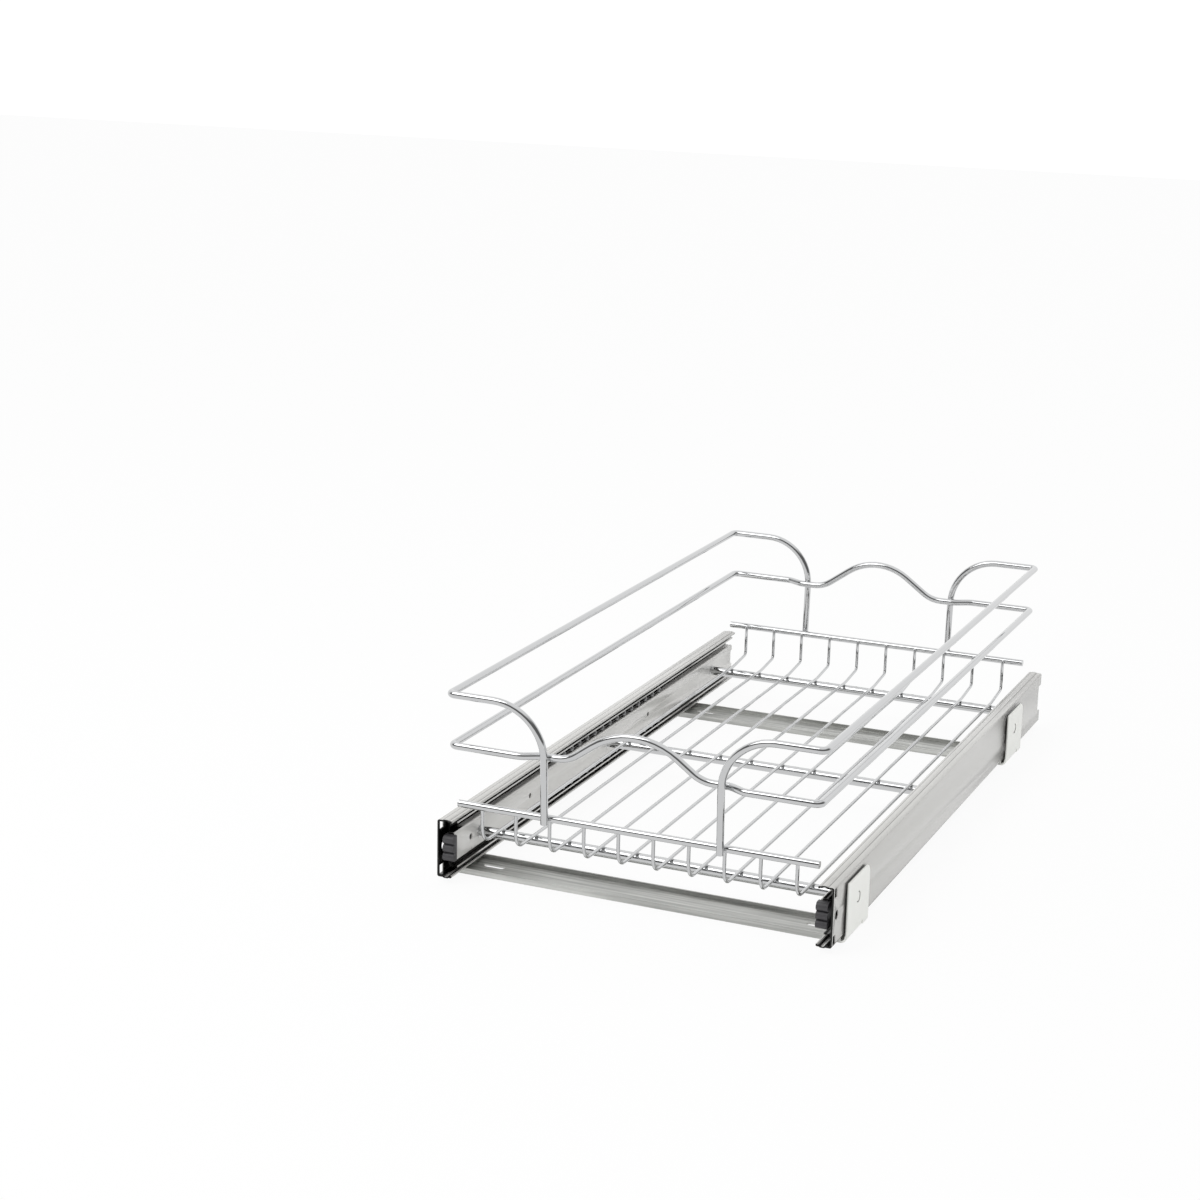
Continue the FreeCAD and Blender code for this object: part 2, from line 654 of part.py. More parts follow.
def bent_path(corners, closed=False):
    """A wire through corners, each with the axis radius of its bend, in plain numbers."""
    count = len(corners)
    places = [Vector(*[dim(value).number for value in corner[0]]) for corner in corners]
    radii = [dim(corner[1]).number for corner in corners]
    starts, ends, middles = [], [], []
    for i, place in enumerate(places):
        is_end = not closed and i in (0, count - 1)
        if is_end:
            starts.append(place)
            ends.append(place)
            middles.append(None)
            continue
        back = (places[i - 1] - place).normalize()
        ahead = (places[(i + 1) % count] - place).normalize()
        half_angle = back.getAngle(ahead) / 2
        reach = radii[i] / math.tan(half_angle)
        starts.append(place + back * reach)
        ends.append(place + ahead * reach)
        bisector = (back + ahead).normalize()
        middles.append(place + bisector * (radii[i] / math.sin(half_angle) - radii[i]))
    edges = []
    for i in range(count):
        if middles[i] is not None:
            edges.append(Part.Arc(starts[i], middles[i], ends[i]).toShape())
        if i < count - 1 or closed:
            edges.append(Part.LineSegment(ends[i], starts[(i + 1) % count]).toShape())
    return Part.Wire(edges)


def bent_rod(label, corners, diameter, closed=False):
    """A round rod swept along a bent path; a closed rod starts and ends midway along a side."""
    path = doc.addObject("Part::Feature", label + "_path")
    path.Shape = bent_path(corners, closed)
    first = path.Shape.Edges[0]
    start = first.valueAt(first.FirstParameter)
    heading = first.tangentAt(first.FirstParameter)
    ring = doc.addObject("Part::Circle", label + "_ring")
    bind(ring, "Radius", diameter / 2)
    ring.Placement = Placement(start, Rotation(Vector(0, 0, 1), heading))
    rod = doc.addObject("Part::Sweep", label)
    rod.Label = label
    rod.Sections = [ring]
    rod.Spine = (path, [f"Edge{i + 1}" for i in range(len(path.Shape.Edges))])
    rod.Solid = True
    return rod


def straight_rod(label, length, diameter, y, z):
    """A straight rod across the basket."""
    rod = doc.addObject("Part::Cylinder", label)
    rod.Label = label
    bind(rod, "Radius", diameter / 2)
    bind(rod, "Height", length)
    rod.Placement.Rotation = Rotation(Vector(0, 1, 0), 90)
    shift(rod, -length / 2, y, z)
    return rod


def lean_at(height):
    """How far inward of its top a leaning post stands at a height."""
    return S.post_lean * (rail_high - height) / (rail_high - S.end_rail_high)


def make_side_hoop(name, sign):
    """One rod that makes a top side rail, its corners and its two leaning posts."""
    post, rail = sign * S.post_span / 2, sign * S.rail_span / 2
    foot_inset = lean_at(S.post_foot)
    corners = [
        ((post, hoop_front + foot_inset, S.post_foot), 0),
        ((post, hoop_front, rail_high), S.post_bend),
        ((rail, hoop_front, rail_high), S.rail_corner),
        ((rail, hoop_rear, rail_high), S.rail_corner),
        ((post, hoop_rear, rail_high), S.post_bend),
        ((post, hoop_rear - foot_inset, S.post_foot), 0),
    ]
    return bent_rod(f"side_hoop_{name}", corners, S.rod)


def hump_corners(y, rise):
    """The three corners of a hump, from left to right: foot, top, foot."""
    slope = math.radians(S.hump_slope.number)
    foot_bend = S.hump_foot_bend.number
    foot = S.hump_half.number - foot_bend * math.tan(slope / 2)
    peak = foot * math.tan(slope)
    top_bend = (peak - rise.number) / (1 / math.cos(slope) - 1)
    level = S.ring_high.number
    return [
        ((-foot, y, level), foot_bend),
        ((0, y, level + peak), top_bend),
        ((foot, y, level), foot_bend),
    ]


def ring_end_corners(outer_y, inward, rise):
    """The middle rail's corners at one end, from left to right."""
    level, bend = S.ring_high, S.joggle_bend
    inner_y = outer_y + inward * (lean_at(level) + rail_step)
    return [
        ((-S.ring_span / 2, outer_y, level), S.rail_corner),
        ((-S.joggle_far, outer_y, level), bend),
        ((-S.joggle_near, inner_y, level), bend),
        *hump_corners(inner_y, rise),
        ((S.joggle_near, inner_y, level), bend),
        ((S.joggle_far, outer_y, level), bend),
        ((S.ring_span / 2, outer_y, level), S.rail_corner),
    ]


def make_middle_rail():
    """The closed ring at half height: it passes inside the posts, with a hump between them."""
    front = ring_end_corners(hoop_front, 1, S.front_hump_rise)
    rear = ring_end_corners(hoop_rear, -1, S.rear_hump_rise)
    start = ((-S.ring_span / 2, basket_middle, S.ring_high), 0)
    return bent_rod("middle_rail", [start] + front + rear[::-1] + [start], S.rod)


def make_end_rails():
    """The two straight rails to which the posts' and the floor wires' ends are welded."""
    places = (("front", end_rail_front), ("rear", end_rail_rear))
    return [
        straight_rod(f"{name}_end_rail", S.end_rail_length, S.rod, y, S.end_rail_high)
        for name, y in places
    ]


def make_cross_rods():
    """The three rods under the floor, their ends welded to the inner members' webs."""
    places = (("front", cross_front), ("middle", basket_middle), ("rear", cross_rear))
    return [
        straight_rod(f"cross_rod_{name}", 2 * inner_face, S.cross_rod, y, S.cross_rod_high)
        for name, y in places
    ]


def make_floor_wire(number):
    """One floor wire, bent up at both ends, with the floor rising a little at the rear."""
    middle = (S.wire_count.number - 1) / 2
    x = S.wire_pitch * (number - 1 - middle)
    rear_floor = floor_high + S.wire_rise
    corners = [
        ((x, wire_front, S.wire_top), 0),
        ((x, wire_front, floor_high), S.wire_front_bend),
        ((x, cross_rear + S.wire_rise_back, floor_high), S.wire_rise_bend),
        ((x, wire_rear, rear_floor), S.wire_rear_bend),
        ((x, wire_rear, S.wire_top), 0),
    ]
    return bent_rod(f"floor_wire_{number:02d}", corners, S.wire)


def make_basket_rods():
    """All rods and wires of the basket."""
    rods = [make_side_hoop(name, sign) for name, sign in SIDES]
    rods.append(make_middle_rail())
    rods += make_end_rails()
    rods += make_cross_rods()
    rods += [make_floor_wire(i + 1) for i in range(int(S.wire_count.number))]
    return rods


def make_all():
    """Every sub-part, in the order of assembly."""
    made = [make_cross_strip("front_cross_strip", front_strip)]
    made.append(make_cross_strip("rear_cross_strip", rear_strip))
    made.append(make_rivets())
    for name, sign in SIDES:
        made.append(make_outer_member(name, sign))
        made.append(make_intermediate_member(name, sign))
        made.append(make_inner_member(name, sign))
        made.append(make_end_plug(name, sign))
        made += make_ball_parts(name, sign)
    return made + make_basket_rods()


def check_all(made):
    """Stop if any object failed, or any sub-part's shape is missing or not valid."""
    for thing in doc.Objects:
        if "Invalid" in thing.State or "Error" in thing.State:
            raise RuntimeError(f"{thing.Label} failed: {thing.State}")
    for part in made:
        shape = part.Shape
        if shape.isNull() or not shape.isValid() or not shape.Solids:
            raise RuntimeError(f"{part.Label} has no valid solid")


parts = make_all()
doc.recompute()
check_all(parts)
os.makedirs("parts", exist_ok=True)
for part in parts:
    part.Shape.exportStep(os.path.join("parts", part.Label + ".step"))
    print(part.Label, len(part.Shape.Solids), round(part.Shape.Volume, 1))
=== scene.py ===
"""The finished pull-out wire basket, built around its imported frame."""

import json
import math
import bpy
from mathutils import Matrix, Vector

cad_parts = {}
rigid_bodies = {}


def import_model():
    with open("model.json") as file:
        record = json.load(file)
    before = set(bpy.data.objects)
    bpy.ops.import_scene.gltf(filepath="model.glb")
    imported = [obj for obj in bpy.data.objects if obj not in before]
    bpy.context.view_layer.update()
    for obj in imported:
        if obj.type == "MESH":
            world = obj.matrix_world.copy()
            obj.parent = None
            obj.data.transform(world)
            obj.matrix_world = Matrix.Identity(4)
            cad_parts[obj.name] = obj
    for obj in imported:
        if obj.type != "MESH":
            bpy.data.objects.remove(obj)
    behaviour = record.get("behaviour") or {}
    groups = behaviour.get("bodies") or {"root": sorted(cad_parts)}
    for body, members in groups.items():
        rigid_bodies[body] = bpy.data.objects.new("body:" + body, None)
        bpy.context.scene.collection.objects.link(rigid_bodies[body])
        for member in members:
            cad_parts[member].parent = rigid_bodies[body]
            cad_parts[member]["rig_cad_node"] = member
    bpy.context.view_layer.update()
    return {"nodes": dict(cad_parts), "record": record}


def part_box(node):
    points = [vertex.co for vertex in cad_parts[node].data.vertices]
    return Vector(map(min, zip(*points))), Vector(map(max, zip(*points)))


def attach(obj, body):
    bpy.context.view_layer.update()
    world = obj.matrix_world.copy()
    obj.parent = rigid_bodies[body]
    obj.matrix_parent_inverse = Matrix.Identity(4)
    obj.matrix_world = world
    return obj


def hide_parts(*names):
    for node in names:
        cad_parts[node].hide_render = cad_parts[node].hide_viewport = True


bl_info = {
    "name": "Pull-out Wire Basket",
    "version": (1, 0, 0),
    "blender": (4, 5, 0),
    "location": "View3D > Sidebar > Wire Basket",
    "description": "Builds the finished wire basket and its studio around the packed frame",
    "category": "Object",
}

import bpy
from bpy.props import FloatProperty, FloatVectorProperty, IntProperty, PointerProperty
from mathutils import Matrix, Vector

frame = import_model()

SIDES = (("left", -1), ("right", 1))
CROSS_RODS = ("cross_rod_front", "cross_rod_middle", "cross_rod_rear")
FLOOR_WIRES = sorted(node for node in frame["nodes"] if node.startswith("floor_wire_"))
MM = 0.001


def span(node, axis):
    """Lowest and highest value of a node along an axis, in metres."""
    low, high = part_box(node)
    return low["xyz".index(axis)], high["xyz".index(axis)]


def thickness(node, axis):
    """Size of a node along an axis."""
    low, high = span(node, axis)
    return high - low


# Sizes read from the frame
ROD_RADIUS = thickness("front_end_rail", "z") / 2
CROSS_RADIUS = thickness("cross_rod_front", "z") / 2
WIRE_RADIUS = thickness("floor_wire_01", "x") / 2
SLIDE_FACE = span("outer_member_right", "x")[1]
SLIDE_LOW, SLIDE_HIGH = span("outer_member_right", "z")
SLIDE_FRONT = span("outer_member_right", "y")[0]

# Where painted shade darkens the slides' hollows, each as the start and end of a soft edge. The band
# from
# HOLLOW_START to HOLLOW_END holds the flanges, and the inner face of the intermediate webs too.
MOUTH_END = (16 * MM, 24 * MM)
MOUTH_DEPTH = (0.5 * MM, 0.9 * MM)
HOLLOW_START = (3.1 * MM, 3.5 * MM)
HOLLOW_END = (9.3 * MM, 9.7 * MM)
SHEET_TOP = (0.9 * MM, 1.3 * MM)
SHEARED_EDGE = (0.2 * MM, 0.5 * MM)

# Painted shade lines along the outer members' grooves, as depths behind their face
GROOVES = (4.2 * MM, 9.0 * MM)
GROOVE_EDGE = (0.15 * MM, 0.35 * MM)

# Where the cross strips turn up into tabs, and the painted shade in the gap between tab and slide
TAB_BEND = (140 * MM, 144 * MM)
TAB_FOOT = (4 * MM, 6 * MM)
GAP_START = (0.0, 0.3 * MM)
GAP_END = (1.5 * MM, 1.9 * MM)


class BasketRods(bpy.types.PropertyGroup):
    """Bends of the basket's rods and wires."""

    post_bend: FloatProperty(
        name="Post Bend", description="Axis radius of the bend from post to top rail",
        default=37.5 * MM, unit="LENGTH")
    rail_corner: FloatProperty(
        name="Rail Corner", description="Axis radius of the rails' corners seen from above",
        default=4.5 * MM, unit="LENGTH")
    weld_gap: FloatProperty(
        name="Weld Gap", description="Distance at a weld between two round rods",
        default=0.04 * MM, unit="LENGTH")
    joggle_near: FloatProperty(
        name="Joggle Near", description="Where the middle rail turns outward beside a post",
        default=68 * MM, unit="LENGTH")
    joggle_far: FloatProperty(
        name="Joggle Far", description="Where the middle rail turns straight again",
        default=80 * MM, unit="LENGTH")
    joggle_bend: FloatProperty(
        name="Joggle Bend", description="Axis radius of these two turns",
        default=10 * MM, unit="LENGTH")
    hump_half: FloatProperty(
        name="Hump Half-width", description="Half the width of the middle rail's hump",
        default=56 * MM, unit="LENGTH")
    hump_slope: FloatProperty(
        name="Hump Slope", description="Slope of a hump's sides",
        subtype="ANGLE", default=math.radians(36))
    hump_foot_bend: FloatProperty(
        name="Hump Foot Bend", description="Axis radius of the bends at a hump's feet",
        default=25 * MM, unit="LENGTH")
    front_hump_lower: FloatProperty(
        name="Front Hump Lower", description="How much lower the front hump is than the rear one",
        default=2 * MM, unit="LENGTH")
    wire_front_bend: FloatProperty(
        name="Wire Front Bend", description="Axis radius of a floor wire's front bend",
        default=11 * MM, unit="LENGTH")
    wire_rear_bend: FloatProperty(
        name="Wire Rear Bend", description="Axis radius of a floor wire's rear bend",
        default=4 * MM, unit="LENGTH")
    wire_rise: FloatProperty(
        name="Floor Rise", description="Rise of the floor wires towards the rear",
        default=3.4 * MM, unit="LENGTH")
    wire_rise_back: FloatProperty(
        name="Floor Rise Place", description="Where the rise starts, behind the rear cross rod",
        default=4 * MM, unit="LENGTH")
    wire_rise_bend: FloatProperty(
        name="Floor Rise Bend", description="Axis radius where that rise starts",
        default=60 * MM, unit="LENGTH")
    rod_sides: IntProperty(
        name="Rod Sides", description="Flat sides round a rod", default=28, min=8)
    wire_sides: IntProperty(
        name="Wire Sides", description="Flat sides round a floor wire", default=16, min=8)
    end_chamfer: FloatProperty(
        name="End Chamfer", description="Rounding of the cut ends",
        default=0.45 * MM, unit="LENGTH")


class BasketSlides(bpy.types.PropertyGroup):
    """The slides' rolled sheet."""

    sheet: FloatProperty(
        name="Sheet", description="Thickness of the members' sheet",
        default=1.2 * MM, unit="LENGTH")
    web_bend: FloatProperty(
        name="Web Bend", description="Outside radius of the bends beside the web",
        default=1.5 * MM, unit="LENGTH")
    flange_drop: FloatProperty(
        name="Flange Drop", description="How far a flange lies below the ridge of its ball race",
        default=0.5 * MM, unit="LENGTH")
    lip_bend: FloatProperty(
        name="Lip Bend", description="Outside radius of the lips' bends",
        default=0.8 * MM, unit="LENGTH")
    lip_high: FloatProperty(
        name="Lip Height", description="Height of the lips",
        default=2.2 * MM, unit="LENGTH")
    race_depth: FloatProperty(
        name="Race Depth", description="Depth of the small balls' centres behind the web's face",
        default=6.6 * MM, unit="LENGTH")
    race_level: FloatProperty(
        name="Race Level", description="Depth of the small balls' centres below the ridge",
        default=2.85 * MM, unit="LENGTH")
    race_radius: FloatProperty(
        name="Race Radius", description="Radius of the small balls' races",
        default=2.06 * MM, unit="LENGTH")
    ridge_half: FloatProperty(
        name="Ridge Half-width", description="Half the width of a race's ridge",
        default=2.2 * MM, unit="LENGTH")
    web_hole: FloatProperty(
        name="Web Hole", description="Diameter of the hole near the outer member's front",
        default=6.5 * MM, unit="LENGTH")
    web_hole_back: FloatProperty(
        name="Web Hole Place", description="That hole's centre behind the front edge",
        default=7.8 * MM, unit="LENGTH")
    cutout_wide: FloatProperty(
        name="Cut-out Width", description="Width of the cut-outs at the front",
        default=5.5 * MM, unit="LENGTH")
    cutout_high: FloatProperty(
        name="Cut-out Height", description="Height of these cut-outs",
        default=6.5 * MM, unit="LENGTH")
    cutout_back: FloatProperty(
        name="Cut-out Place", description="Front cut-outs' distance behind the front edge",
        default=1.8 * MM, unit="LENGTH")
    cutout_inset: FloatProperty(
        name="Cut-out Inset", description="Their distance from the member's top and underside",
        default=1.7 * MM, unit="LENGTH")
    notch_deep: FloatProperty(
        name="Notch Depth", description="Depth of the rear notch",
        default=7 * MM, unit="LENGTH")
    notch_high: FloatProperty(
        name="Notch Height", description="Height of the rear notch",
        default=22 * MM, unit="LENGTH")
    recess_deep: FloatProperty(
        name="Recess Depth", description="Depth of the recess in an inner member's rear edge",
        default=3 * MM, unit="LENGTH")
    recess_inset: FloatProperty(
        name="Recess Inset", description="Distance of that recess from the member's edges",
        default=4.5 * MM, unit="LENGTH")
    edge: FloatProperty(
        name="Edge", description="Rounding of sheared edges", default=0.15 * MM, unit="LENGTH")
    plug_edge: FloatProperty(
        name="Plug Edge", description="Rounding of the end plugs' edges",
        default=0.45 * MM, unit="LENGTH")


class BasketFinish(bpy.types.PropertyGroup):
    """Colours of the finishes."""

    chrome: FloatVectorProperty(
        name="Chrome", description="Plating of the rods and wires", subtype="COLOR", size=3,
        default=(0.56, 0.565, 0.57))
    zinc: FloatVectorProperty(
        name="Zinc", description="Plating of the slides", subtype="COLOR", size=3,
        default=(0.64, 0.635, 0.615))
    galvanised: FloatVectorProperty(
        name="Galvanised", description="Surface of the cross strips", subtype="COLOR", size=3,
        default=(0.51, 0.515, 0.495))
    # Near-black, as painted shade in the gaps where the cages run
    cage: FloatVectorProperty(
        name="Cage", description="Steel of the ball cages", subtype="COLOR", size=3,
        default=(0.05, 0.05, 0.05))
    plastic: FloatVectorProperty(
        name="Plastic", description="Plastic of the end plugs", subtype="COLOR", size=3,
        default=(0.052, 0.05, 0.054))


class BasketStage(bpy.types.PropertyGroup):
    """Camera and light."""

    camera_place: FloatVectorProperty(
        name="Camera Place", description="Where the camera stands", subtype="TRANSLATION",
        size=3, default=(0.58628, -1.68479, 0.62191))
    camera_azimuth: FloatProperty(
        name="Azimuth", description="Turn of the camera about the vertical",
        subtype="ANGLE", default=math.radians(23.417))
    camera_elevation: FloatProperty(
        name="Elevation", description="How far the camera looks down",
        subtype="ANGLE", default=math.radians(14.742))
    camera_roll: FloatProperty(
        name="Roll", description="Turn of the camera about its own axis",
        subtype="ANGLE", default=math.radians(1.266))
    camera_lens: FloatProperty(
        name="Lens", description="Focal length in millimetres on a 36 mm sensor", default=73.294)
    floor_size: FloatProperty(
        name="Floor Size", description="Width of the floor", default=12.0, unit="LENGTH")
    floor_white: FloatProperty(
        name="Floor White", description="Share of plain white in the floor's look",
        subtype="FACTOR", min=0.0, max=1.0, default=0.92)
    sky_level: FloatProperty(
        name="Sky Level", description="Strength of the white surroundings", default=1.1, min=0.0)
    dark_end_level: FloatProperty(
        name="Dark End Level", description="Strength of their darker end", default=0.16, min=0.0)
    lamp_place: FloatVectorProperty(
        name="Lamp Place", description="Where the soft lamp hangs", subtype="TRANSLATION",
        size=3, default=(-0.9, -1.1, 1.6))
    lamp_aim: FloatVectorProperty(
        name="Lamp Aim", description="The place that the lamp faces", subtype="TRANSLATION",
        size=3, default=(0.0, 0.0, 0.05))
    lamp_size: FloatProperty(
        name="Lamp Size", description="Width of the lamp", default=1.2, unit="LENGTH")
    lamp_power: FloatProperty(
        name="Lamp Power", description="Power of the lamp in watts", default=14.0, min=0.0)


class Link:
    """A node socket that takes part in arithmetic."""

    def __init__(self, finish, socket):
        self.finish = finish
        self.socket = socket

    def maths(self, operation, *values):
        return self.finish.add("ShaderNodeMath", {"operation": operation}, *values)

    def __add__(self, other):
        return self.maths("ADD", self, other)

    def __radd__(self, other):
        return self.maths("ADD", other, self)

    def __sub__(self, other):
        return self.maths("SUBTRACT", self, other)

    def __rsub__(self, other):
        return self.maths("SUBTRACT", other, self)

    def __mul__(self, other):
        return self.maths("MULTIPLY", self, other)

    def __rmul__(self, other):
        return self.maths("MULTIPLY", other, self)

    def clamped(self):
        """The same value, kept from 0 to 1."""
        return self.finish.add("ShaderNodeMath", {"operation": "ADD", "use_clamp": True}, self, 0.0)


class Finish:
    """A node tree that is written as expressions."""

    def __init__(self, tree):
        self.tree = tree
        tree.nodes.clear()

    def add(self, kind, settings=None, *values, output=0, **named):
        """Add a node: its settings first, then the values or links of its sockets."""
        node = self.tree.nodes.new(kind)
        for key, value in (settings or {}).items():
            setattr(node, key, value)
        pairs = list(enumerate(values)) + [(k.replace("_", " "), v) for k, v in named.items()]
        for key, value in pairs:
            socket = node.inputs[key]
            if isinstance(value, Link):
                self.tree.links.new(value.socket, socket)
            else:
                socket.default_value = value
        if len(node.outputs) == 0:
            return None
        return Link(self, node.outputs[output])

    def axes(self, point):
        """The three coordinates of a point."""
        first = self.add("ShaderNodeSeparateXYZ", None, point)
        return [Link(self, socket) for socket in first.socket.node.outputs]

    def step(self, value, low, high):
        """0 below low, 1 above high, smooth between."""
        return self.add("ShaderNodeMapRange", {"interpolation_type": "SMOOTHSTEP"}, value, low, high)

    def rise(self, value, edge, start=0.0):
        """The step over a soft edge that is given as two distances past start."""
        return self.step(value, start + edge[0], start + edge[1])

    def place(self, scale=(1.0, 1.0, 1.0)):
        """Object coordinates, stretched by scale."""
        point = self.add("ShaderNodeTexCoord", output="Object")
        return self.add("ShaderNodeMapping", {"vector_type": "POINT"}, Vector=point, Scale=scale)

    def noise(self, size, stretch=(1.0, 1.0, 1.0), detail=3.0, roughness=0.55):
        """Noise from 0 to 1 whose features are about size metres wide."""
        return self.add("ShaderNodeTexNoise", {"noise_dimensions": "3D"}, output="Fac",
                        Vector=self.place(stretch), Scale=1.0 / size, Detail=detail,
                        Roughness=roughness)

    def mix(self, factor, first, second):
        """Blend two colours."""
        node = self.tree.nodes.new("ShaderNodeMix")
        node.data_type = "RGBA"
        for key, value in (("Factor", factor), ("A", first), ("B", second)):
            socket = [s for s in node.inputs if s.name == key and s.enabled][0]
            if isinstance(value, Link):
                self.tree.links.new(value.socket, socket)
            else:
                socket.default_value = value if key == "Factor" else (*value[:3], 1.0)
        return Link(self, [s for s in node.outputs if s.enabled][0])

    def bump(self, height, strength, depth):
        """A surface relief."""
        return self.add("ShaderNodeBump", None, Strength=strength, Distance=depth, Height=height,
                        output="Normal")


def new_finish(name):
    """Start a material."""
    material = bpy.data.materials.new(name)
    material.use_nodes = True
    return material, Finish(material.node_tree)


def close_finish(finish, **named):
    """End a material in one Principled shader."""
    shader = finish.add("ShaderNodeBsdfPrincipled", None, output="BSDF", **named)
    finish.add("ShaderNodeOutputMaterial", None, Surface=shader)


def shade(colour, amount):
    """A darker or lighter copy of a colour."""
    return tuple(min(1.0, value * amount) for value in colour)


def chrome_finish(name, colour):
    """Bright chrome plating, with faint drawing marks under it and a slightly uneven polish."""
    material, finish = new_finish(name)
    cloud = finish.noise(30 * MM)
    marks = finish.noise(1.2 * MM, detail=2.0)
    tone = finish.mix(cloud, shade(colour, 0.96), shade(colour, 1.03))
    roughness = 0.02 + cloud * 0.03 + marks * 0.01
    relief = finish.bump(marks, 0.02, 0.02 * MM)
    close_finish(finish, Base_Color=tone, Metallic=1.0, Roughness=roughness, Normal=relief)
    return material


def slide_shade(finish, hollow_shade_amount):
    """How dark painted shade makes a member's hollows and sheared front edges, and the depth behind the
    face.
    """
    x, y, z = finish.axes(finish.place())
    depth = SLIDE_FACE - x.maths("ABSOLUTE", x)
    # Painted shade: the hollows between the members and the front mouth are made near-black
    mouth = 1.0 - finish.rise(y, MOUTH_END, SLIDE_FRONT)
    hollow = finish.rise(depth, HOLLOW_START) * hollow_shade_amount
    hollow = hollow * (1.0 - mouth) + finish.rise(depth, MOUTH_DEPTH) * mouth
    hollow = hollow * (1.0 - finish.rise(depth, HOLLOW_END))
    hollow = hollow * finish.rise(z, SHEET_TOP, SLIDE_LOW)
    hollow = hollow * (1.0 - finish.step(z, SLIDE_HIGH - SHEET_TOP[1], SLIDE_HIGH - SHEET_TOP[0]))
    # Painted shade on the sheared front edges
    edge = 1.0 - finish.rise(y, SHEARED_EDGE, SLIDE_FRONT)
    return (hollow + edge).clamped(), depth


def zinc_finish(name, colour, hollow_shade_amount, metal, grooves=()):
    """Bright zinc on rolled sheet: satin, with fine rolling lines along the slide, and painted shade in
    hollows, on given grooves and on sheared front edges.
    """
    material, finish = new_finish(name)
    cloud = finish.noise(45 * MM, (1.0, 0.35, 1.0))
    lines = finish.noise(0.8 * MM, (1.0, 0.02, 1.0), detail=2.0)
    grain = finish.noise(1.6 * MM, detail=4.0)
    tone = finish.mix(cloud, shade(colour, 0.93), shade(colour, 1.05))
    tone = finish.mix(lines * 0.15, tone, shade(colour, 0.9))
    hollow, depth = slide_shade(finish, hollow_shade_amount)
    # Painted shade: a dark line at each groove's depth
    for groove in grooves:
        away = depth - groove
        line = 1.0 - finish.rise(away.maths("ABSOLUTE", away), GROOVE_EDGE)
        tone = finish.mix(line * 0.75, tone, shade(colour, 0.2))
    # Painted shade: near-black wherever slide_shade says, and fully metallic there
    tone = finish.mix(hollow * 0.97, tone, shade(colour, 0.02))
    roughness = 0.18 + cloud * 0.06 + grain * 0.06
    relief = finish.bump(lines * 0.5 + grain * 0.5, 0.06, 0.03 * MM)
    close_finish(finish, Base_Color=tone, Metallic=hollow * (1.0 - metal) + metal,
                 Roughness=roughness, Normal=relief)
    return material


def galvanised_finish(name, colour):
    """Galvanised strip with streaks along its length and faint spangle; its tabs get painted light, a
    much lighter copy of its colour.
    """
    material, finish = new_finish(name)
    streaks = finish.noise(3.0 * MM, (0.03, 1.0, 1.0), detail=3.0)
    cloud = finish.noise(28 * MM, (0.5, 1.0, 1.0))
    spangle = finish.add("ShaderNodeTexVoronoi", {"feature": "F1"}, output="Distance",
                         Vector=finish.place(), Scale=1.0 / (4 * MM))
    tone = finish.mix(finish.step(streaks, 0.3, 0.75), shade(colour, 0.75), shade(colour, 1.45))
    tone = finish.mix((cloud - 0.35).clamped() * 0.8, tone, shade(colour, 0.85))
    across, _, level = finish.axes(finish.place())
    across = across.maths("ABSOLUTE", across)
    # Painted light: the tabs are a much lighter copy of the strip's colour
    tab = finish.rise(across, TAB_BEND)
    tone = finish.mix(tab, tone, shade(colour, 1.8))
    # Painted shade in the gap between each tab and the slide
    behind = finish.rise(across, GAP_START, SLIDE_FACE) * finish.rise(level, TAB_FOOT)
    behind = behind * (1.0 - finish.rise(across, GAP_END, SLIDE_FACE))
    tone = finish.mix(behind * 0.9, tone, shade(colour, 0.05))
    roughness = 0.26 + streaks * 0.16 + spangle * 0.08
    relief = finish.bump(streaks * 0.7 + spangle * 0.3, 0.15, 0.06 * MM)
    close_finish(finish, Base_Color=tone, Metallic=0.6, Roughness=roughness, Normal=relief)
    return material


def cage_finish(name, colour):
    """Sheet steel of the cages, its colour near-black as painted shade in the slides' gaps, with an
    uneven roughness.
    """
    material, finish = new_finish(name)
    cloud = finish.noise(9 * MM)
    tone = finish.mix(cloud, shade(colour, 0.75), shade(colour, 1.15))
    relief = finish.bump(finish.noise(0.9 * MM), 0.12, 0.03 * MM)
    close_finish(finish, Base_Color=tone, Metallic=1.0, Roughness=0.22 + cloud * 0.2, Normal=relief)
    return material


def ball_finish(name, colour):
    """Polished steel balls under a thin, greasy film."""
    material, finish = new_finish(name)
    cloud = finish.noise(2.5 * MM)
    tone = finish.mix(cloud, shade(colour, 0.85), colour)
    close_finish(finish, Base_Color=tone, Metallic=1.0, Roughness=0.06 + cloud * 0.1)
    return material


def plastic_finish(name, colour):
    """Dark moulded plastic with a fine eroded texture."""
    material, finish = new_finish(name)
    grain = finish.noise(0.35 * MM, detail=5.0)
    cloud = finish.noise(6 * MM)
    tone = finish.mix(cloud, shade(colour, 0.8), shade(colour, 1.5))
    relief = finish.bump(grain, 0.35, 0.05 * MM)
    close_finish(finish, Base_Color=tone, Roughness=0.42 + grain * 0.2, Normal=relief)
    return material


def material_named(name):
    """A finish that the finishes' operator made."""
    return bpy.data.materials[name]


# Modelling helpers

BEND_STEP = math.radians(7)
MERGE_DISTANCE = 1e-6
ROD_SMOOTH = 40
SHEET_SMOOTH = 30
PLUG_SMOOTH = 50
BEAD_SMOOTH = 70


def start_piece():
    """Leave edit mode and deselect everything."""
    if bpy.context.object and bpy.context.object.mode != "OBJECT":
        bpy.ops.object.mode_set(mode="OBJECT")
    bpy.ops.object.select_all(action="DESELECT")


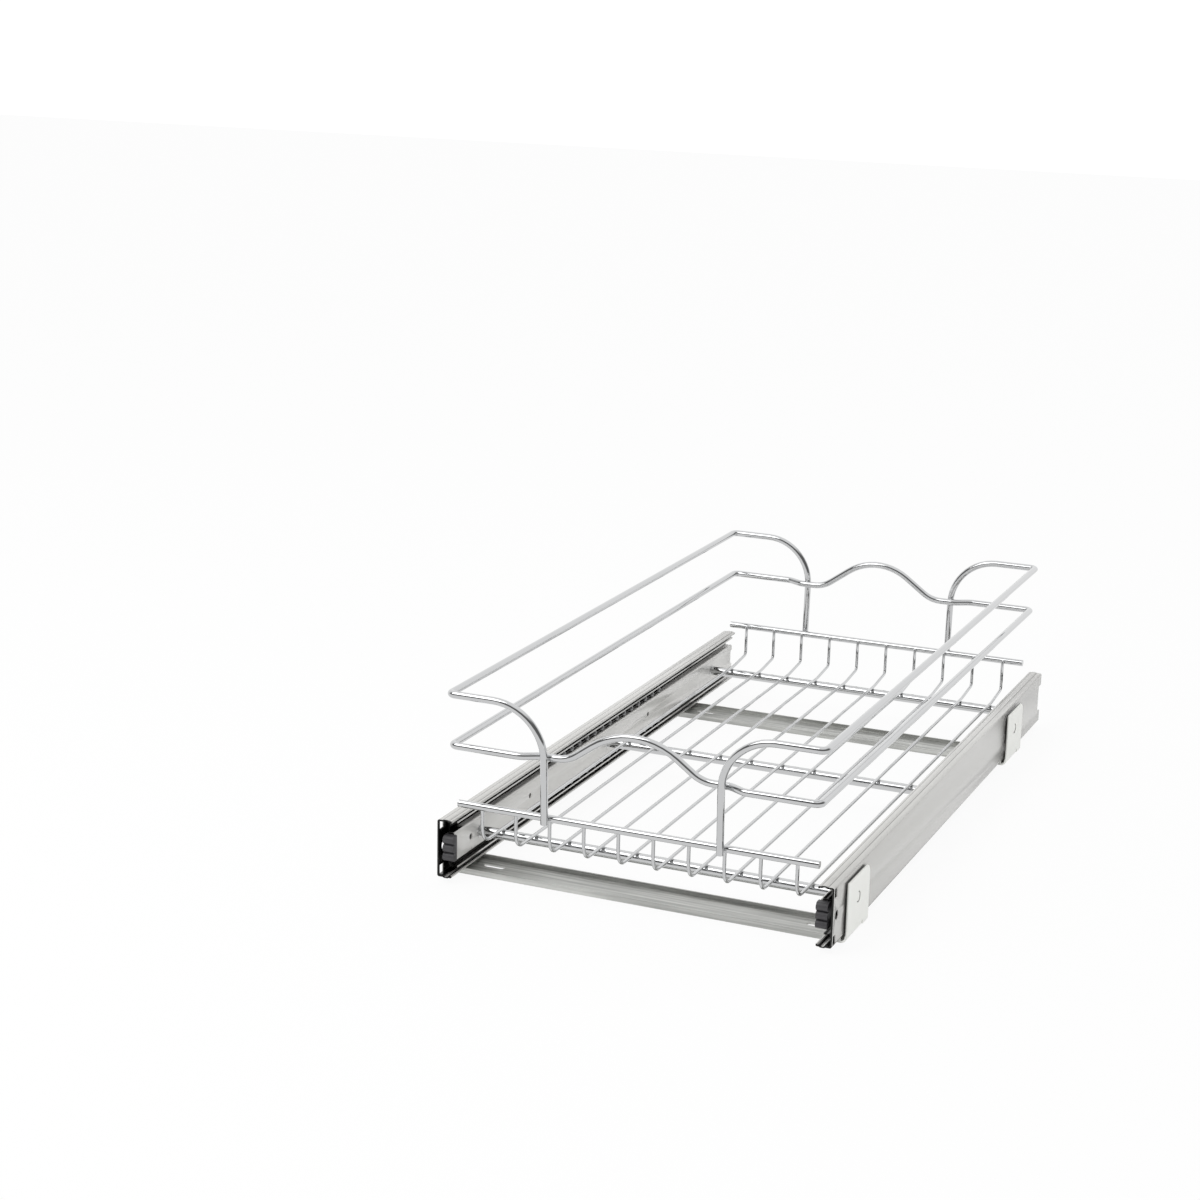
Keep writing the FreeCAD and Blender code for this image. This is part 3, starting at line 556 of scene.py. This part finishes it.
def end_piece(name, body, material, smooth):
    """Settle the active object at the origin, give it its finish and let it ride."""
    if bpy.context.object.mode != "OBJECT":
        bpy.ops.object.mode_set(mode="OBJECT")
    piece = bpy.context.object
    piece.name = name
    piece.data.name = name
    bpy.ops.object.transform_apply(location=True, rotation=True, scale=True)
    bpy.ops.object.shade_smooth_by_angle(angle=math.radians(smooth))
    piece.data.materials.clear()
    piece.data.materials.append(material_named(material))
    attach(piece, body)
    return piece


def fix_normals():
    """Merge doubles and turn every face of the edited mesh outwards."""
    bpy.ops.mesh.select_all(action="SELECT")
    bpy.ops.mesh.remove_doubles(threshold=MERGE_DISTANCE)
    bpy.ops.mesh.normals_make_consistent(inside=False)


def bends_of(corners, closed):
    """Each corner's bend as (start, end, centre, axis, angle); a sharp corner has no centre."""
    count = len(corners)
    bends = []
    for i, (place, radius) in enumerate(corners):
        if not closed and i in (0, count - 1):
            bends.append((place, place, None, None, 0.0))
            continue
        back = (corners[i - 1][0] - place).normalized()
        ahead = (corners[(i + 1) % count][0] - place).normalized()
        half = back.angle(ahead) / 2
        if radius == 0.0:
            bends.append((place, place, None, None, 0.0))
            continue
        reach = radius / math.tan(half)
        centre = place + (back + ahead).normalized() * (radius / math.sin(half))
        turn_axis = ahead.cross(back).normalized()
        bends.append((place + back * reach, place + ahead * reach, centre, -turn_axis,
                      math.pi - 2 * half))
    return bends


def bend_rod(corners, radius, sides, chamfer, closed=False):
    """Bend a rod as a wire bender does: extrude each straight, spin each bend."""
    corners = [(Vector(place), bend) for place, bend in corners]
    bends = bends_of(corners, closed)
    start = bends[0][1]
    heading = (bends[1][0] - start).normalized()
    turn = Vector((0, 0, 1)).rotation_difference(heading).to_euler()
    start_piece()
    bpy.ops.mesh.primitive_circle_add(vertices=sides, radius=radius, fill_type="NOTHING",
                                      location=start, rotation=turn)
    bpy.ops.object.transform_apply(location=True, rotation=True, scale=True)
    bpy.ops.object.mode_set(mode="EDIT")
    bpy.ops.mesh.select_all(action="SELECT")
    here = start
    order = list(range(1, len(bends))) + ([0] if closed else [])
    for i in order:
        bend_start, bend_end, centre, turn_axis, angle = bends[i]
        run = bend_start - here
        if run.length > MERGE_DISTANCE / 10:
            bpy.ops.mesh.extrude_region_move(TRANSFORM_OT_translate={"value": run})
        if centre is not None:
            steps = max(2, math.ceil(angle / BEND_STEP))
            bpy.ops.mesh.spin(steps=steps, angle=angle, center=centre, axis=turn_axis,
                              use_normal_flip=False, use_auto_merge=False)
        here = bend_end
    fix_normals()
    if not closed:
        bpy.ops.mesh.fill_holes(sides=0)
        fix_normals()
        round_ends(chamfer, sides)


def round_ends(chamfer, sides):
    """Round the rims of the two cut ends of the edited rod."""
    bpy.ops.mesh.select_all(action="DESELECT")
    bpy.ops.object.mode_set(mode="OBJECT")
    mesh = bpy.context.object.data
    for face in mesh.polygons:
        face.select = len(face.vertices) == sides
    bpy.ops.object.mode_set(mode="EDIT")
    bpy.ops.mesh.select_mode(type="FACE")
    bpy.ops.mesh.region_to_loop()
    bpy.ops.mesh.bevel(offset=chamfer, segments=2, affect="EDGES")
    bpy.ops.mesh.select_mode(type="VERT")


def arc(centre, radius, start, end, steps):
    """Points along an arc, from start to end degrees."""
    turns = [math.radians(start + (end - start) * i / steps) for i in range(steps + 1)]
    return [(centre[0] + radius * math.cos(a), centre[1] + radius * math.sin(a)) for a in turns]


def roll_section(outline, front, rear):
    """Draw a section of (x, z) points at the front and extrude it to the rear."""
    start_piece()
    (x, z), rest = outline[0], outline[1:]
    bpy.ops.mesh.primitive_plane_add(size=1.0, location=(x, front, z))
    bpy.ops.object.mode_set(mode="EDIT")
    bpy.ops.mesh.select_all(action="SELECT")
    bpy.ops.mesh.merge(type="CENTER")
    for next_x, next_z in rest:
        step = (next_x - x, 0.0, next_z - z)
        bpy.ops.mesh.extrude_region_move(TRANSFORM_OT_translate={"value": step})
        x, z = next_x, next_z
    bpy.ops.mesh.select_all(action="SELECT")
    bpy.ops.mesh.edge_face_add()
    bpy.ops.mesh.extrude_region_move(TRANSFORM_OT_translate={"value": (0.0, rear - front, 0.0)})
    fix_normals()
    bpy.ops.object.mode_set(mode="OBJECT")
    return bpy.context.object


def box_cutter(low, high):
    """A block that cuts from low to high."""
    low, high = Vector(low), Vector(high)
    bpy.ops.mesh.primitive_cube_add(size=1.0, location=(low + high) / 2)
    bpy.context.object.scale = high - low
    bpy.ops.object.transform_apply(location=False, rotation=False, scale=True)
    return bpy.context.object


def drill(place, radius, length):
    """A round cutter along X."""
    bpy.ops.mesh.primitive_cylinder_add(vertices=32, radius=radius, depth=length, location=place,
                                        rotation=(0.0, math.pi / 2, 0.0))
    return bpy.context.object


def cut_away(piece, cutters):
    """Cut every cutter out of a piece."""
    for cutter in cutters:
        start_piece()
        piece.select_set(True)
        bpy.context.view_layer.objects.active = piece
        cut = piece.modifiers.new("cut", "BOOLEAN")
        cut.operation = "DIFFERENCE"
        cut.object = cutter
        bpy.ops.object.modifier_apply(modifier=cut.name)
        bpy.data.objects.remove(cutter)


def copy_node(node):
    """A copy of one of the frame's own parts, merged and with its flat faces whole."""
    start_piece()
    source = frame["nodes"][node]
    source.select_set(True)
    bpy.context.view_layer.objects.active = source
    bpy.ops.object.duplicate(linked=False)
    piece = bpy.context.object
    del piece["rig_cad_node"]
    bpy.ops.object.mode_set(mode="EDIT")
    fix_normals()
    bpy.ops.mesh.dissolve_limited(angle_limit=math.radians(2))
    bpy.ops.object.mode_set(mode="OBJECT")
    return piece


def round_edges(piece, width, angle=35, segments=2):
    """Round the edges of a piece that turn by more than an angle in degrees."""
    start_piece()
    piece.select_set(True)
    bpy.context.view_layer.objects.active = piece
    bevel = piece.modifiers.new("edges", "BEVEL")
    bevel.width = width
    bevel.segments = segments
    bevel.limit_method = "ANGLE"
    bevel.angle_limit = math.radians(angle)
    bpy.ops.object.modifier_apply(modifier=bevel.name)


def centre_line(node, axis):
    """Middle of a node along an axis."""
    low, high = span(node, axis)
    return (low + high) / 2


def post_slope(rods):
    """How far a post leans outward for each metre that it rises."""
    rail_y, rail_z = centre_line("front_end_rail", "y"), centre_line("front_end_rail", "z")
    top_y = span("side_hoop_left", "y")[0] + ROD_RADIUS
    top_z = span("side_hoop_left", "z")[1] - ROD_RADIUS
    post_y = rail_y - 2 * ROD_RADIUS - rods.weld_gap
    return (post_y - top_y) / (top_z - rail_z)


class RodOperator:
    """What every operator that bends rods shares."""

    bl_options = {"REGISTER", "UNDO"}

    @staticmethod
    def finish_rod(name):
        piece = end_piece(name, "basket", "Chrome plating", ROD_SMOOTH)
        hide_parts(name)
        return piece


class BASKET_OT_side_hoops(RodOperator, bpy.types.Operator):
    """Bend the two rods that make the top rails and the posts"""

    bl_idname = "basket.side_hoops"
    bl_label = "Side Hoops"

    def execute(self, context):
        rods = context.scene.basket_rods
        for name, sign in SIDES:
            node = f"side_hoop_{name}"
            x_ends = [x - sign * s * ROD_RADIUS for x, s in zip(span(node, "x"), (-sign, sign))]
            post, rail = sorted(x_ends, key=abs)
            front, rear = span(node, "y")
            front, rear = front + ROD_RADIUS, rear - ROD_RADIUS
            slope = post_slope(rods)
            foot, top = span(node, "z")
            foot += ROD_RADIUS * math.sin(math.atan(slope))
            top -= ROD_RADIUS
            inset = slope * (top - foot)
            corners = [
                ((post, front + inset, foot), 0.0),
                ((post, front, top), rods.post_bend),
                ((rail, front, top), rods.rail_corner),
                ((rail, rear, top), rods.rail_corner),
                ((post, rear, top), rods.post_bend),
                ((post, rear - inset, foot), 0.0),
            ]
            bend_rod(corners, ROD_RADIUS, rods.rod_sides, rods.end_chamfer)
            self.finish_rod(node)
        return {"FINISHED"}


class BASKET_OT_middle_rail(RodOperator, bpy.types.Operator):
    """Bend the closed ring with its front and rear humps"""

    bl_idname = "basket.middle_rail"
    bl_label = "Middle Rail"

    def execute(self, context):
        rods = context.scene.basket_rods
        rail = span("middle_rail", "x")[1] - ROD_RADIUS
        front, rear = span("middle_rail", "y")
        front, rear = front + ROD_RADIUS, rear - ROD_RADIUS
        low, high = span("middle_rail", "z")
        level = low + ROD_RADIUS
        rise = high - ROD_RADIUS - level
        top = span("side_hoop_left", "z")[1] - ROD_RADIUS
        inset = post_slope(rods) * (top - level) + 2 * ROD_RADIUS + rods.weld_gap
        foot = rods.hump_half - rods.hump_foot_bend * math.tan(rods.hump_slope / 2)
        peak = foot * math.tan(rods.hump_slope)
        corners = [((-rail, (front + rear) / 2, level), 0.0)]
        for y, walk, climb in ((front, 1, rise - rods.front_hump_lower), (rear, -1, rise)):
            inner = y + walk * inset
            top_bend = (peak - climb) / (1 / math.cos(rods.hump_slope) - 1)
            corners += [
                ((-walk * rail, y, level), rods.rail_corner),
                ((-walk * rods.joggle_far, y, level), rods.joggle_bend),
                ((-walk * rods.joggle_near, inner, level), rods.joggle_bend),
                ((-walk * foot, inner, level), rods.hump_foot_bend),
                ((0.0, inner, level + peak), top_bend),
                ((walk * foot, inner, level), rods.hump_foot_bend),
                ((walk * rods.joggle_near, inner, level), rods.joggle_bend),
                ((walk * rods.joggle_far, y, level), rods.joggle_bend),
                ((walk * rail, y, level), rods.rail_corner),
            ]
        bend_rod(corners, ROD_RADIUS, rods.rod_sides, rods.end_chamfer, closed=True)
        self.finish_rod("middle_rail")
        return {"FINISHED"}


class BASKET_OT_straight_rods(RodOperator, bpy.types.Operator):
    """Cut the two end rails and the three cross rods"""

    bl_idname = "basket.straight_rods"
    bl_label = "Straight Rods"

    def execute(self, context):
        rods = context.scene.basket_rods
        thick = [("front_end_rail", ROD_RADIUS), ("rear_end_rail", ROD_RADIUS)]
        thick += [(node, CROSS_RADIUS) for node in CROSS_RODS]
        for node, radius in thick:
            y, z = centre_line(node, "y"), centre_line(node, "z")
            corners = [((x, y, z), 0.0) for x in span(node, "x")]
            bend_rod(corners, radius, rods.rod_sides, rods.end_chamfer)
            self.finish_rod(node)
        return {"FINISHED"}


class BASKET_OT_floor_wires(RodOperator, bpy.types.Operator):
    """Bend the ten floor wires"""

    bl_idname = "basket.floor_wires"
    bl_label = "Floor Wires"

    def execute(self, context):
        rods = context.scene.basket_rods
        rise_start = centre_line("cross_rod_rear", "y") + rods.wire_rise_back
        for node in FLOOR_WIRES:
            x = centre_line(node, "x")
            front, rear = span(node, "y")
            front, rear = front + WIRE_RADIUS, rear - WIRE_RADIUS
            low, top = span(node, "z")
            floor = low + WIRE_RADIUS
            corners = [
                ((x, front, top), 0.0),
                ((x, front, floor), rods.wire_front_bend),
                ((x, rise_start, floor), rods.wire_rise_bend),
                ((x, rear, floor + rods.wire_rise), rods.wire_rear_bend),
                ((x, rear, top), 0.0),
            ]
            bend_rod(corners, WIRE_RADIUS, rods.wire_sides, rods.end_chamfer / 2)
            self.finish_rod(node)
        return {"FINISHED"}


class BASKET_OT_outer_members(bpy.types.Operator):
    """Roll the two outer slide members, with ridges over the ball races, and punch them"""

    bl_idname = "basket.outer_members"
    bl_label = "Outer Slide Members"
    bl_options = {"REGISTER", "UNDO"}

    def execute(self, context):
        slides = context.scene.basket_slides
        for name, sign in SIDES:
            node = f"outer_member_{name}"
            face, lip = sorted(span(node, "x"), key=abs, reverse=True)
            front, rear = span(node, "y")
            low, high = span(node, "z")
            outside, inside = self.half_section(slides, abs(face - lip))
            top = [(face - sign * depth, high - level) for depth, level in outside]
            back = [(face - sign * depth, high - level) for depth, level in inside]
            outline = (top + [(x, low + high - z) for x, z in reversed(top)]
                       + [(x, low + high - z) for x, z in back] + back[::-1])
            piece = roll_section(outline, front, rear)
            cut_away(piece, self.punches(slides, (face, front, rear, low, high)))
            round_edges(piece, slides.edge)
            end_piece(node, "cabinet_frame", "Zinc plating, painted groove shade", SHEET_SMOOTH)
            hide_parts(node)
        return {"FINISHED"}

    @staticmethod
    def half_section(slides, deep):
        """Depth and level of the section's outside and inside, from the lip's end to the web."""
        drop, sheet = slides.flange_drop, slides.sheet
        middle, half = slides.race_depth, slides.ridge_half
        turn, bend = slides.lip_bend, slides.web_bend
        outside = [(deep, slides.lip_high)]
        outside += arc((deep - turn, drop + turn), turn, 0, -90, 4)
        shoulder, flat, brow = half * 0.75, half * 0.4, drop * 0.2
        outside += [(middle + half, drop), (middle + shoulder, brow), (middle + flat, 0.0),
                    (middle - flat, 0.0), (middle - shoulder, brow), (middle - half, drop)]
        outside += arc((bend, drop + bend), bend, -90, -180, 6)
        under = drop + sheet
        reach = math.degrees(math.asin((slides.race_level - under) / slides.race_radius))
        inside = [(deep - sheet, slides.lip_high), (deep - sheet, under)]
        inside += arc((middle, slides.race_level), slides.race_radius, -reach, reach - 180, 8)
        inside += [(bend, under), (sheet, drop + bend)]
        return outside, inside

    @staticmethod
    def punches(slides, ends):
        """Cutters for the front hole, the two cut-outs beside it and the rear notch."""
        face, front, rear, low, high = ends
        middle = (low + high) / 2
        reach = 3 * slides.sheet
        cutters = [drill((face, front + slides.web_hole_back, middle), slides.web_hole / 2, reach)]
        y = front + slides.cutout_back
        for sign in (-1, 1):
            near = middle + sign * ((high - low) / 2 - slides.cutout_inset)
            bottom, top = sorted((near, near - sign * slides.cutout_high))
            cutters.append(box_cutter((face - reach, y, bottom),
                                      (face + reach, y + slides.cutout_wide, top)))
        half = slides.notch_high / 2
        cutters.append(box_cutter((face - reach, rear - slides.notch_deep, middle - half),
                                  (face + reach, rear + slides.notch_deep, middle + half)))
        return cutters


class BASKET_OT_inner_members(bpy.types.Operator):
    """Cut a rounded recess into the rear edge of each inner slide member"""

    bl_idname = "basket.inner_members"
    bl_label = "Inner Slide Members"
    bl_options = {"REGISTER", "UNDO"}

    def execute(self, context):
        slides = context.scene.basket_slides
        for name, sign in SIDES:
            node = f"inner_member_{name}"
            web = min(span(node, "x"), key=abs)
            rear = span(node, "y")[1]
            low, high = (z + s * slides.recess_inset for z, s in zip(span(node, "z"), (1, -1)))
            reach, deep = slides.sheet * 1.5, slides.recess_deep
            cutter = box_cutter((web - reach, rear - deep, low), (web + reach, rear + deep, high))
            round_edges(cutter, deep * 0.9, segments=5)
            piece = copy_node(node)
            cut_away(piece, [cutter])
            round_edges(piece, slides.edge)
            end_piece(node, "basket", "Zinc plating, painted light", SHEET_SMOOTH)
            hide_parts(node)
        return {"FINISHED"}


class BASKET_OT_end_plugs(bpy.types.Operator):
    """Round the moulded edges of the two end plugs"""

    bl_idname = "basket.end_plugs"
    bl_label = "End Plugs"
    bl_options = {"REGISTER", "UNDO"}

    def execute(self, context):
        for name, _ in SIDES:
            node = f"end_plug_{name}"
            piece = copy_node(node)
            round_edges(piece, context.scene.basket_slides.plug_edge, angle=30, segments=3)
            end_piece(node, "basket", "Dark plastic", PLUG_SMOOTH)
            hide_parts(node)
        return {"FINISHED"}


class BASKET_OT_welds(bpy.types.Operator):
    """Set a weld bead wherever two rods meet"""

    bl_idname = "basket.welds"
    bl_label = "Weld Beads"
    bl_options = {"REGISTER", "UNDO"}

    # Half sizes of the beads along x, y and z
    cross_bead = (1.15 * WIRE_RADIUS, 1.6 * MM, 0.5 * MM)
    end_bead = (0.6 * MM, 1.12 * CROSS_RADIUS, 1.12 * CROSS_RADIUS)
    wire_bead = (1.2 * WIRE_RADIUS, WIRE_RADIUS - 0.2 * MM, 1.2 * MM)
    post_bead = (1.9 * MM, 1.2 * MM, 2.2 * MM)
    ring_bead = (2.2 * MM, 1.2 * MM, 1.9 * MM)
    wire_bead_in = 0.1 * MM

    def execute(self, context):
        pattern = self.make_bead()
        groups = {f"{node}_welds": self.cross_rod_beads(node) for node in CROSS_RODS}
        for end, side in (("front", -1), ("rear", 1)):
            rail = f"{end}_end_rail"
            groups[f"{rail}_welds"] = self.end_rail_beads(context, rail, side)
        for name, beads in groups.items():
            self.set_beads(pattern, name, beads)
        bpy.data.objects.remove(pattern)
        return {"FINISHED"}

    def cross_rod_beads(self, node):
        """Beads where the floor wires cross, and at the rod's ends on the inner members."""
        y, z, top = centre_line(node, "y"), centre_line(node, "z"), span(node, "z")[1]
        beads = [((centre_line(wire, "x"), y, top), self.cross_bead) for wire in FLOOR_WIRES]
        return beads + [((x, y, z), self.end_bead) for x in span(node, "x")]

    def end_rail_beads(self, context, rail, side):
        """Beads at the floor wires, at the posts, and where the posts meet the middle rail."""
        y, z = centre_line(rail, "y"), centre_line("front_end_rail", "z")
        wire_y = y - side * (ROD_RADIUS + self.wire_bead_in)
        ring_y = y + side * (ROD_RADIUS + self.rise_of_posts(context, z))
        ring_z = span("middle_rail", "z")[0] + ROD_RADIUS
        beads = [((centre_line(wire, "x"), wire_y, z), self.wire_bead) for wire in FLOOR_WIRES]
        beads += [((x, y + side * ROD_RADIUS, z), self.post_bead) for x in self.posts()]
        return beads + [((x, ring_y, ring_z), self.ring_bead) for x in self.posts()]

    @staticmethod
    def posts():
        """The two posts' places across the basket."""
        inner = min(abs(x) for x in span("side_hoop_right", "x"))
        return -inner - ROD_RADIUS, inner + ROD_RADIUS

    @staticmethod
    def rise_of_posts(context, rail_z):
        """How far the posts have leaned outward when they reach the middle rail."""
        ring_z = span("middle_rail", "z")[0] + ROD_RADIUS
        return post_slope(context.scene.basket_rods) * (ring_z - rail_z)

    @staticmethod
    def make_bead():
        """A round bead of one unit's radius: a disc drawn out to both sides and rounded."""
        start_piece()
        bpy.ops.mesh.primitive_circle_add(vertices=12, radius=0.5, fill_type="NGON", location=(0, 0, -1))
        bpy.ops.object.mode_set(mode="EDIT")
        bpy.ops.mesh.select_all(action="SELECT")
        rings = ((-1.0, 0.5), (-0.5, 0.87), (0.0, 1.0), (0.5, 0.87), (1.0, 0.5))
        for (height, radius), (next_height, next_radius) in zip(rings, rings[1:]):
            rise = (0.0, 0.0, next_height - height)
            bpy.ops.mesh.extrude_region_move(TRANSFORM_OT_translate={"value": rise})
            grow = next_radius / radius
            bpy.ops.transform.resize(value=(grow, grow, 1.0))
        fix_normals()
        bpy.ops.object.mode_set(mode="OBJECT")
        bpy.ops.object.transform_apply(location=True, rotation=True, scale=True)
        return bpy.context.object

    @staticmethod
    def set_beads(pattern, name, beads):
        """Copy the bead to each place at its size, and join the copies."""
        copies = []
        for place, size in beads:
            start_piece()
            pattern.select_set(True)
            bpy.context.view_layer.objects.active = pattern
            bpy.ops.object.duplicate(linked=False)
            bpy.ops.transform.resize(value=size)
            bpy.ops.transform.translate(value=place)
            copies.append(bpy.context.object)
        start_piece()
        for copy in copies:
            copy.select_set(True)
        bpy.context.view_layer.objects.active = copies[0]
        bpy.ops.object.join()
        end_piece(name, "basket", "Chrome plating", BEAD_SMOOTH)


class BASKET_OT_finishes(bpy.types.Operator):
    """Make every finish and give the frame's own parts theirs, by slot or by a name's first word"""

    bl_idname = "basket.finishes"
    bl_label = "Finishes"

    def execute(self, context):
        colours = context.scene.basket_finish
        made = {
            "chrome_rod": chrome_finish("Chrome plating", colours.chrome),
            # Painted light: the inner members get the same zinc made 1.27 times lighter and less
            # metallic
            "inner": zinc_finish("Zinc plating, painted light", shade(colours.zinc, 1.27), 0.0, 0.2),
            # Painted shade in the hollows, 0.85 strong
            "zinc_steel": zinc_finish("Zinc plating, painted hollow shade", colours.zinc, 0.85, 0.5),
            "outer": zinc_finish("Zinc plating, painted groove shade", colours.zinc, 0.6, 0.4, GROOVES),
            "galvanised_sheet": galvanised_finish("Galvanised sheet", colours.galvanised),
            "cage_steel": cage_finish("Cage steel, painted shade", colours.cage),
            "ball_steel": ball_finish("Ball steel", shade(colours.chrome, 0.4)),
            "dark_plastic": plastic_finish("Dark plastic", colours.plastic),
        }
        for row in frame["record"]["subparts"]:
            node = frame["nodes"][row["node"]]
            node.data.materials.clear()
            kind = row["node"].split("_")[0]
            node.data.materials.append(made.get(kind, made[row["material_slot"]]))
        return {"FINISHED"}


class BASKET_OT_stage(bpy.types.Operator):
    """Set up the floor, the light and the camera"""

    bl_idname = "basket.stage"
    bl_label = "Stage"

    # Soft edges of the sky's darker end, on its direction's coordinates
    end_turn = 0.35
    end_front = (-0.1, 0.6)
    end_bottom = (0.0, 0.15)
    end_top = (0.6, 0.9)

    def execute(self, context):
        stage = context.scene.basket_stage
        context.scene.view_settings.view_transform = "Standard"
        self.make_floor(stage)
        self.make_sky(context.scene, stage)
        self.make_lamp(stage)
        self.make_camera(context, stage)
        return {"FINISHED"}

    @staticmethod
    def background_rays(finish):
        """1 for the rays that show the background: the camera's, and those in metal and glass."""
        outputs = finish.add("ShaderNodeLightPath", None).socket.node.outputs
        camera, glossy, through = (Link(finish, outputs[f"Is {kind} Ray"])
                                   for kind in ("Camera", "Glossy", "Transmission"))
        return (camera + glossy + through).clamped()

    def make_floor(self, stage):
        start_piece()
        bpy.ops.mesh.primitive_plane_add(size=stage.floor_size, location=(0, 0, 0))
        floor = bpy.context.object
        floor.name = "studio_floor"
        material, finish = new_finish("Pale floor")
        paint = finish.add("ShaderNodeBsdfDiffuse", None, Color=(0.9, 0.9, 0.9, 1.0))
        white = finish.add("ShaderNodeEmission", None, Color=(1.0, 1.0, 1.0, 1.0), Strength=1.0)
        shown = self.background_rays(finish) * stage.floor_white
        surface = finish.add("ShaderNodeMixShader", None, shown, paint, white)
        finish.add("ShaderNodeOutputMaterial", None, Surface=surface)
        floor.data.materials.append(material)

    def make_sky(self, scene, stage):
        """White, with a softly darker end behind the photographer, the same for every ray."""
        world = bpy.data.worlds.new("Studio")
        world.use_nodes = True
        scene.world = world
        finish = Finish(world.node_tree)
        x, y, z = finish.axes(finish.add("ShaderNodeTexCoord", output="Generated"))
        far_end = 1.0 - finish.rise(y - x * self.end_turn, self.end_front)
        far_end = far_end * finish.rise(z, self.end_bottom)
        far_end = far_end * (1.0 - finish.rise(z, self.end_top))
        colour = finish.mix(far_end, (stage.sky_level,) * 3, (stage.dark_end_level,) * 3)
        background = finish.add("ShaderNodeBackground", None, Color=colour, Strength=1.0)
        finish.add("ShaderNodeOutputWorld", None, Surface=background)

    @staticmethod
    def make_lamp(stage):
        """One large soft lamp above, to the left and in front."""
        place = Vector(stage.lamp_place)
        aim = (Vector(stage.lamp_aim) - place).to_track_quat("-Z", "Y").to_euler()
        bpy.ops.object.light_add(type="AREA", location=place, rotation=aim)
        lamp = bpy.context.object
        lamp.name = "soft_lamp"
        lamp.data.shape = "SQUARE"
        lamp.data.size = stage.lamp_size
        lamp.data.energy = stage.lamp_power

    @staticmethod
    def make_camera(context, stage):
        """A camera that stands and looks as the photographer's did."""
        turn = (Matrix.Rotation(stage.camera_azimuth, 3, "Z")
                @ Matrix.Rotation(math.pi / 2 - stage.camera_elevation, 3, "X")
                @ Matrix.Rotation(stage.camera_roll, 3, "Z"))
        bpy.ops.object.camera_add(location=stage.camera_place, rotation=turn.to_euler())
        camera = context.object
        camera.data.sensor_width = 36.0
        camera.data.lens = stage.camera_lens
        camera.data.clip_start = 0.01
        context.scene.camera = camera


class BASKET_PT_panel(bpy.types.Panel):
    """Lists the pieces of the wire basket"""

    bl_idname = "BASKET_PT_panel"
    bl_label = "Wire Basket"
    bl_space_type = "VIEW_3D"
    bl_region_type = "UI"
    bl_category = "Wire Basket"

    def draw(self, context):
        for step in STEPS:
            self.layout.operator(step.bl_idname)


STEPS = (
    BASKET_OT_finishes,
    BASKET_OT_side_hoops,
    BASKET_OT_middle_rail,
    BASKET_OT_straight_rods,
    BASKET_OT_floor_wires,
    BASKET_OT_welds,
    BASKET_OT_outer_members,
    BASKET_OT_inner_members,
    BASKET_OT_end_plugs,
    BASKET_OT_stage,
)
GROUPS = (BasketRods, BasketSlides, BasketFinish, BasketStage)
CLASSES = GROUPS + STEPS + (BASKET_PT_panel,)


def register():
    for cls in CLASSES:
        bpy.utils.register_class(cls)
    bpy.types.Scene.basket_rods = PointerProperty(type=BasketRods)
    bpy.types.Scene.basket_slides = PointerProperty(type=BasketSlides)
    bpy.types.Scene.basket_finish = PointerProperty(type=BasketFinish)
    bpy.types.Scene.basket_stage = PointerProperty(type=BasketStage)


def unregister():
    del bpy.types.Scene.basket_stage
    del bpy.types.Scene.basket_finish
    del bpy.types.Scene.basket_slides
    del bpy.types.Scene.basket_rods
    for cls in reversed(CLASSES):
        bpy.utils.unregister_class(cls)


def main():
    """Build everything in order."""
    register()
    bpy.ops.basket.finishes()
    bpy.ops.basket.side_hoops()
    bpy.ops.basket.middle_rail()
    bpy.ops.basket.straight_rods()
    bpy.ops.basket.floor_wires()
    bpy.ops.basket.welds()
    bpy.ops.basket.outer_members()
    bpy.ops.basket.inner_members()
    bpy.ops.basket.end_plugs()
    bpy.ops.basket.stage()


if __name__ == "__main__":
    main()
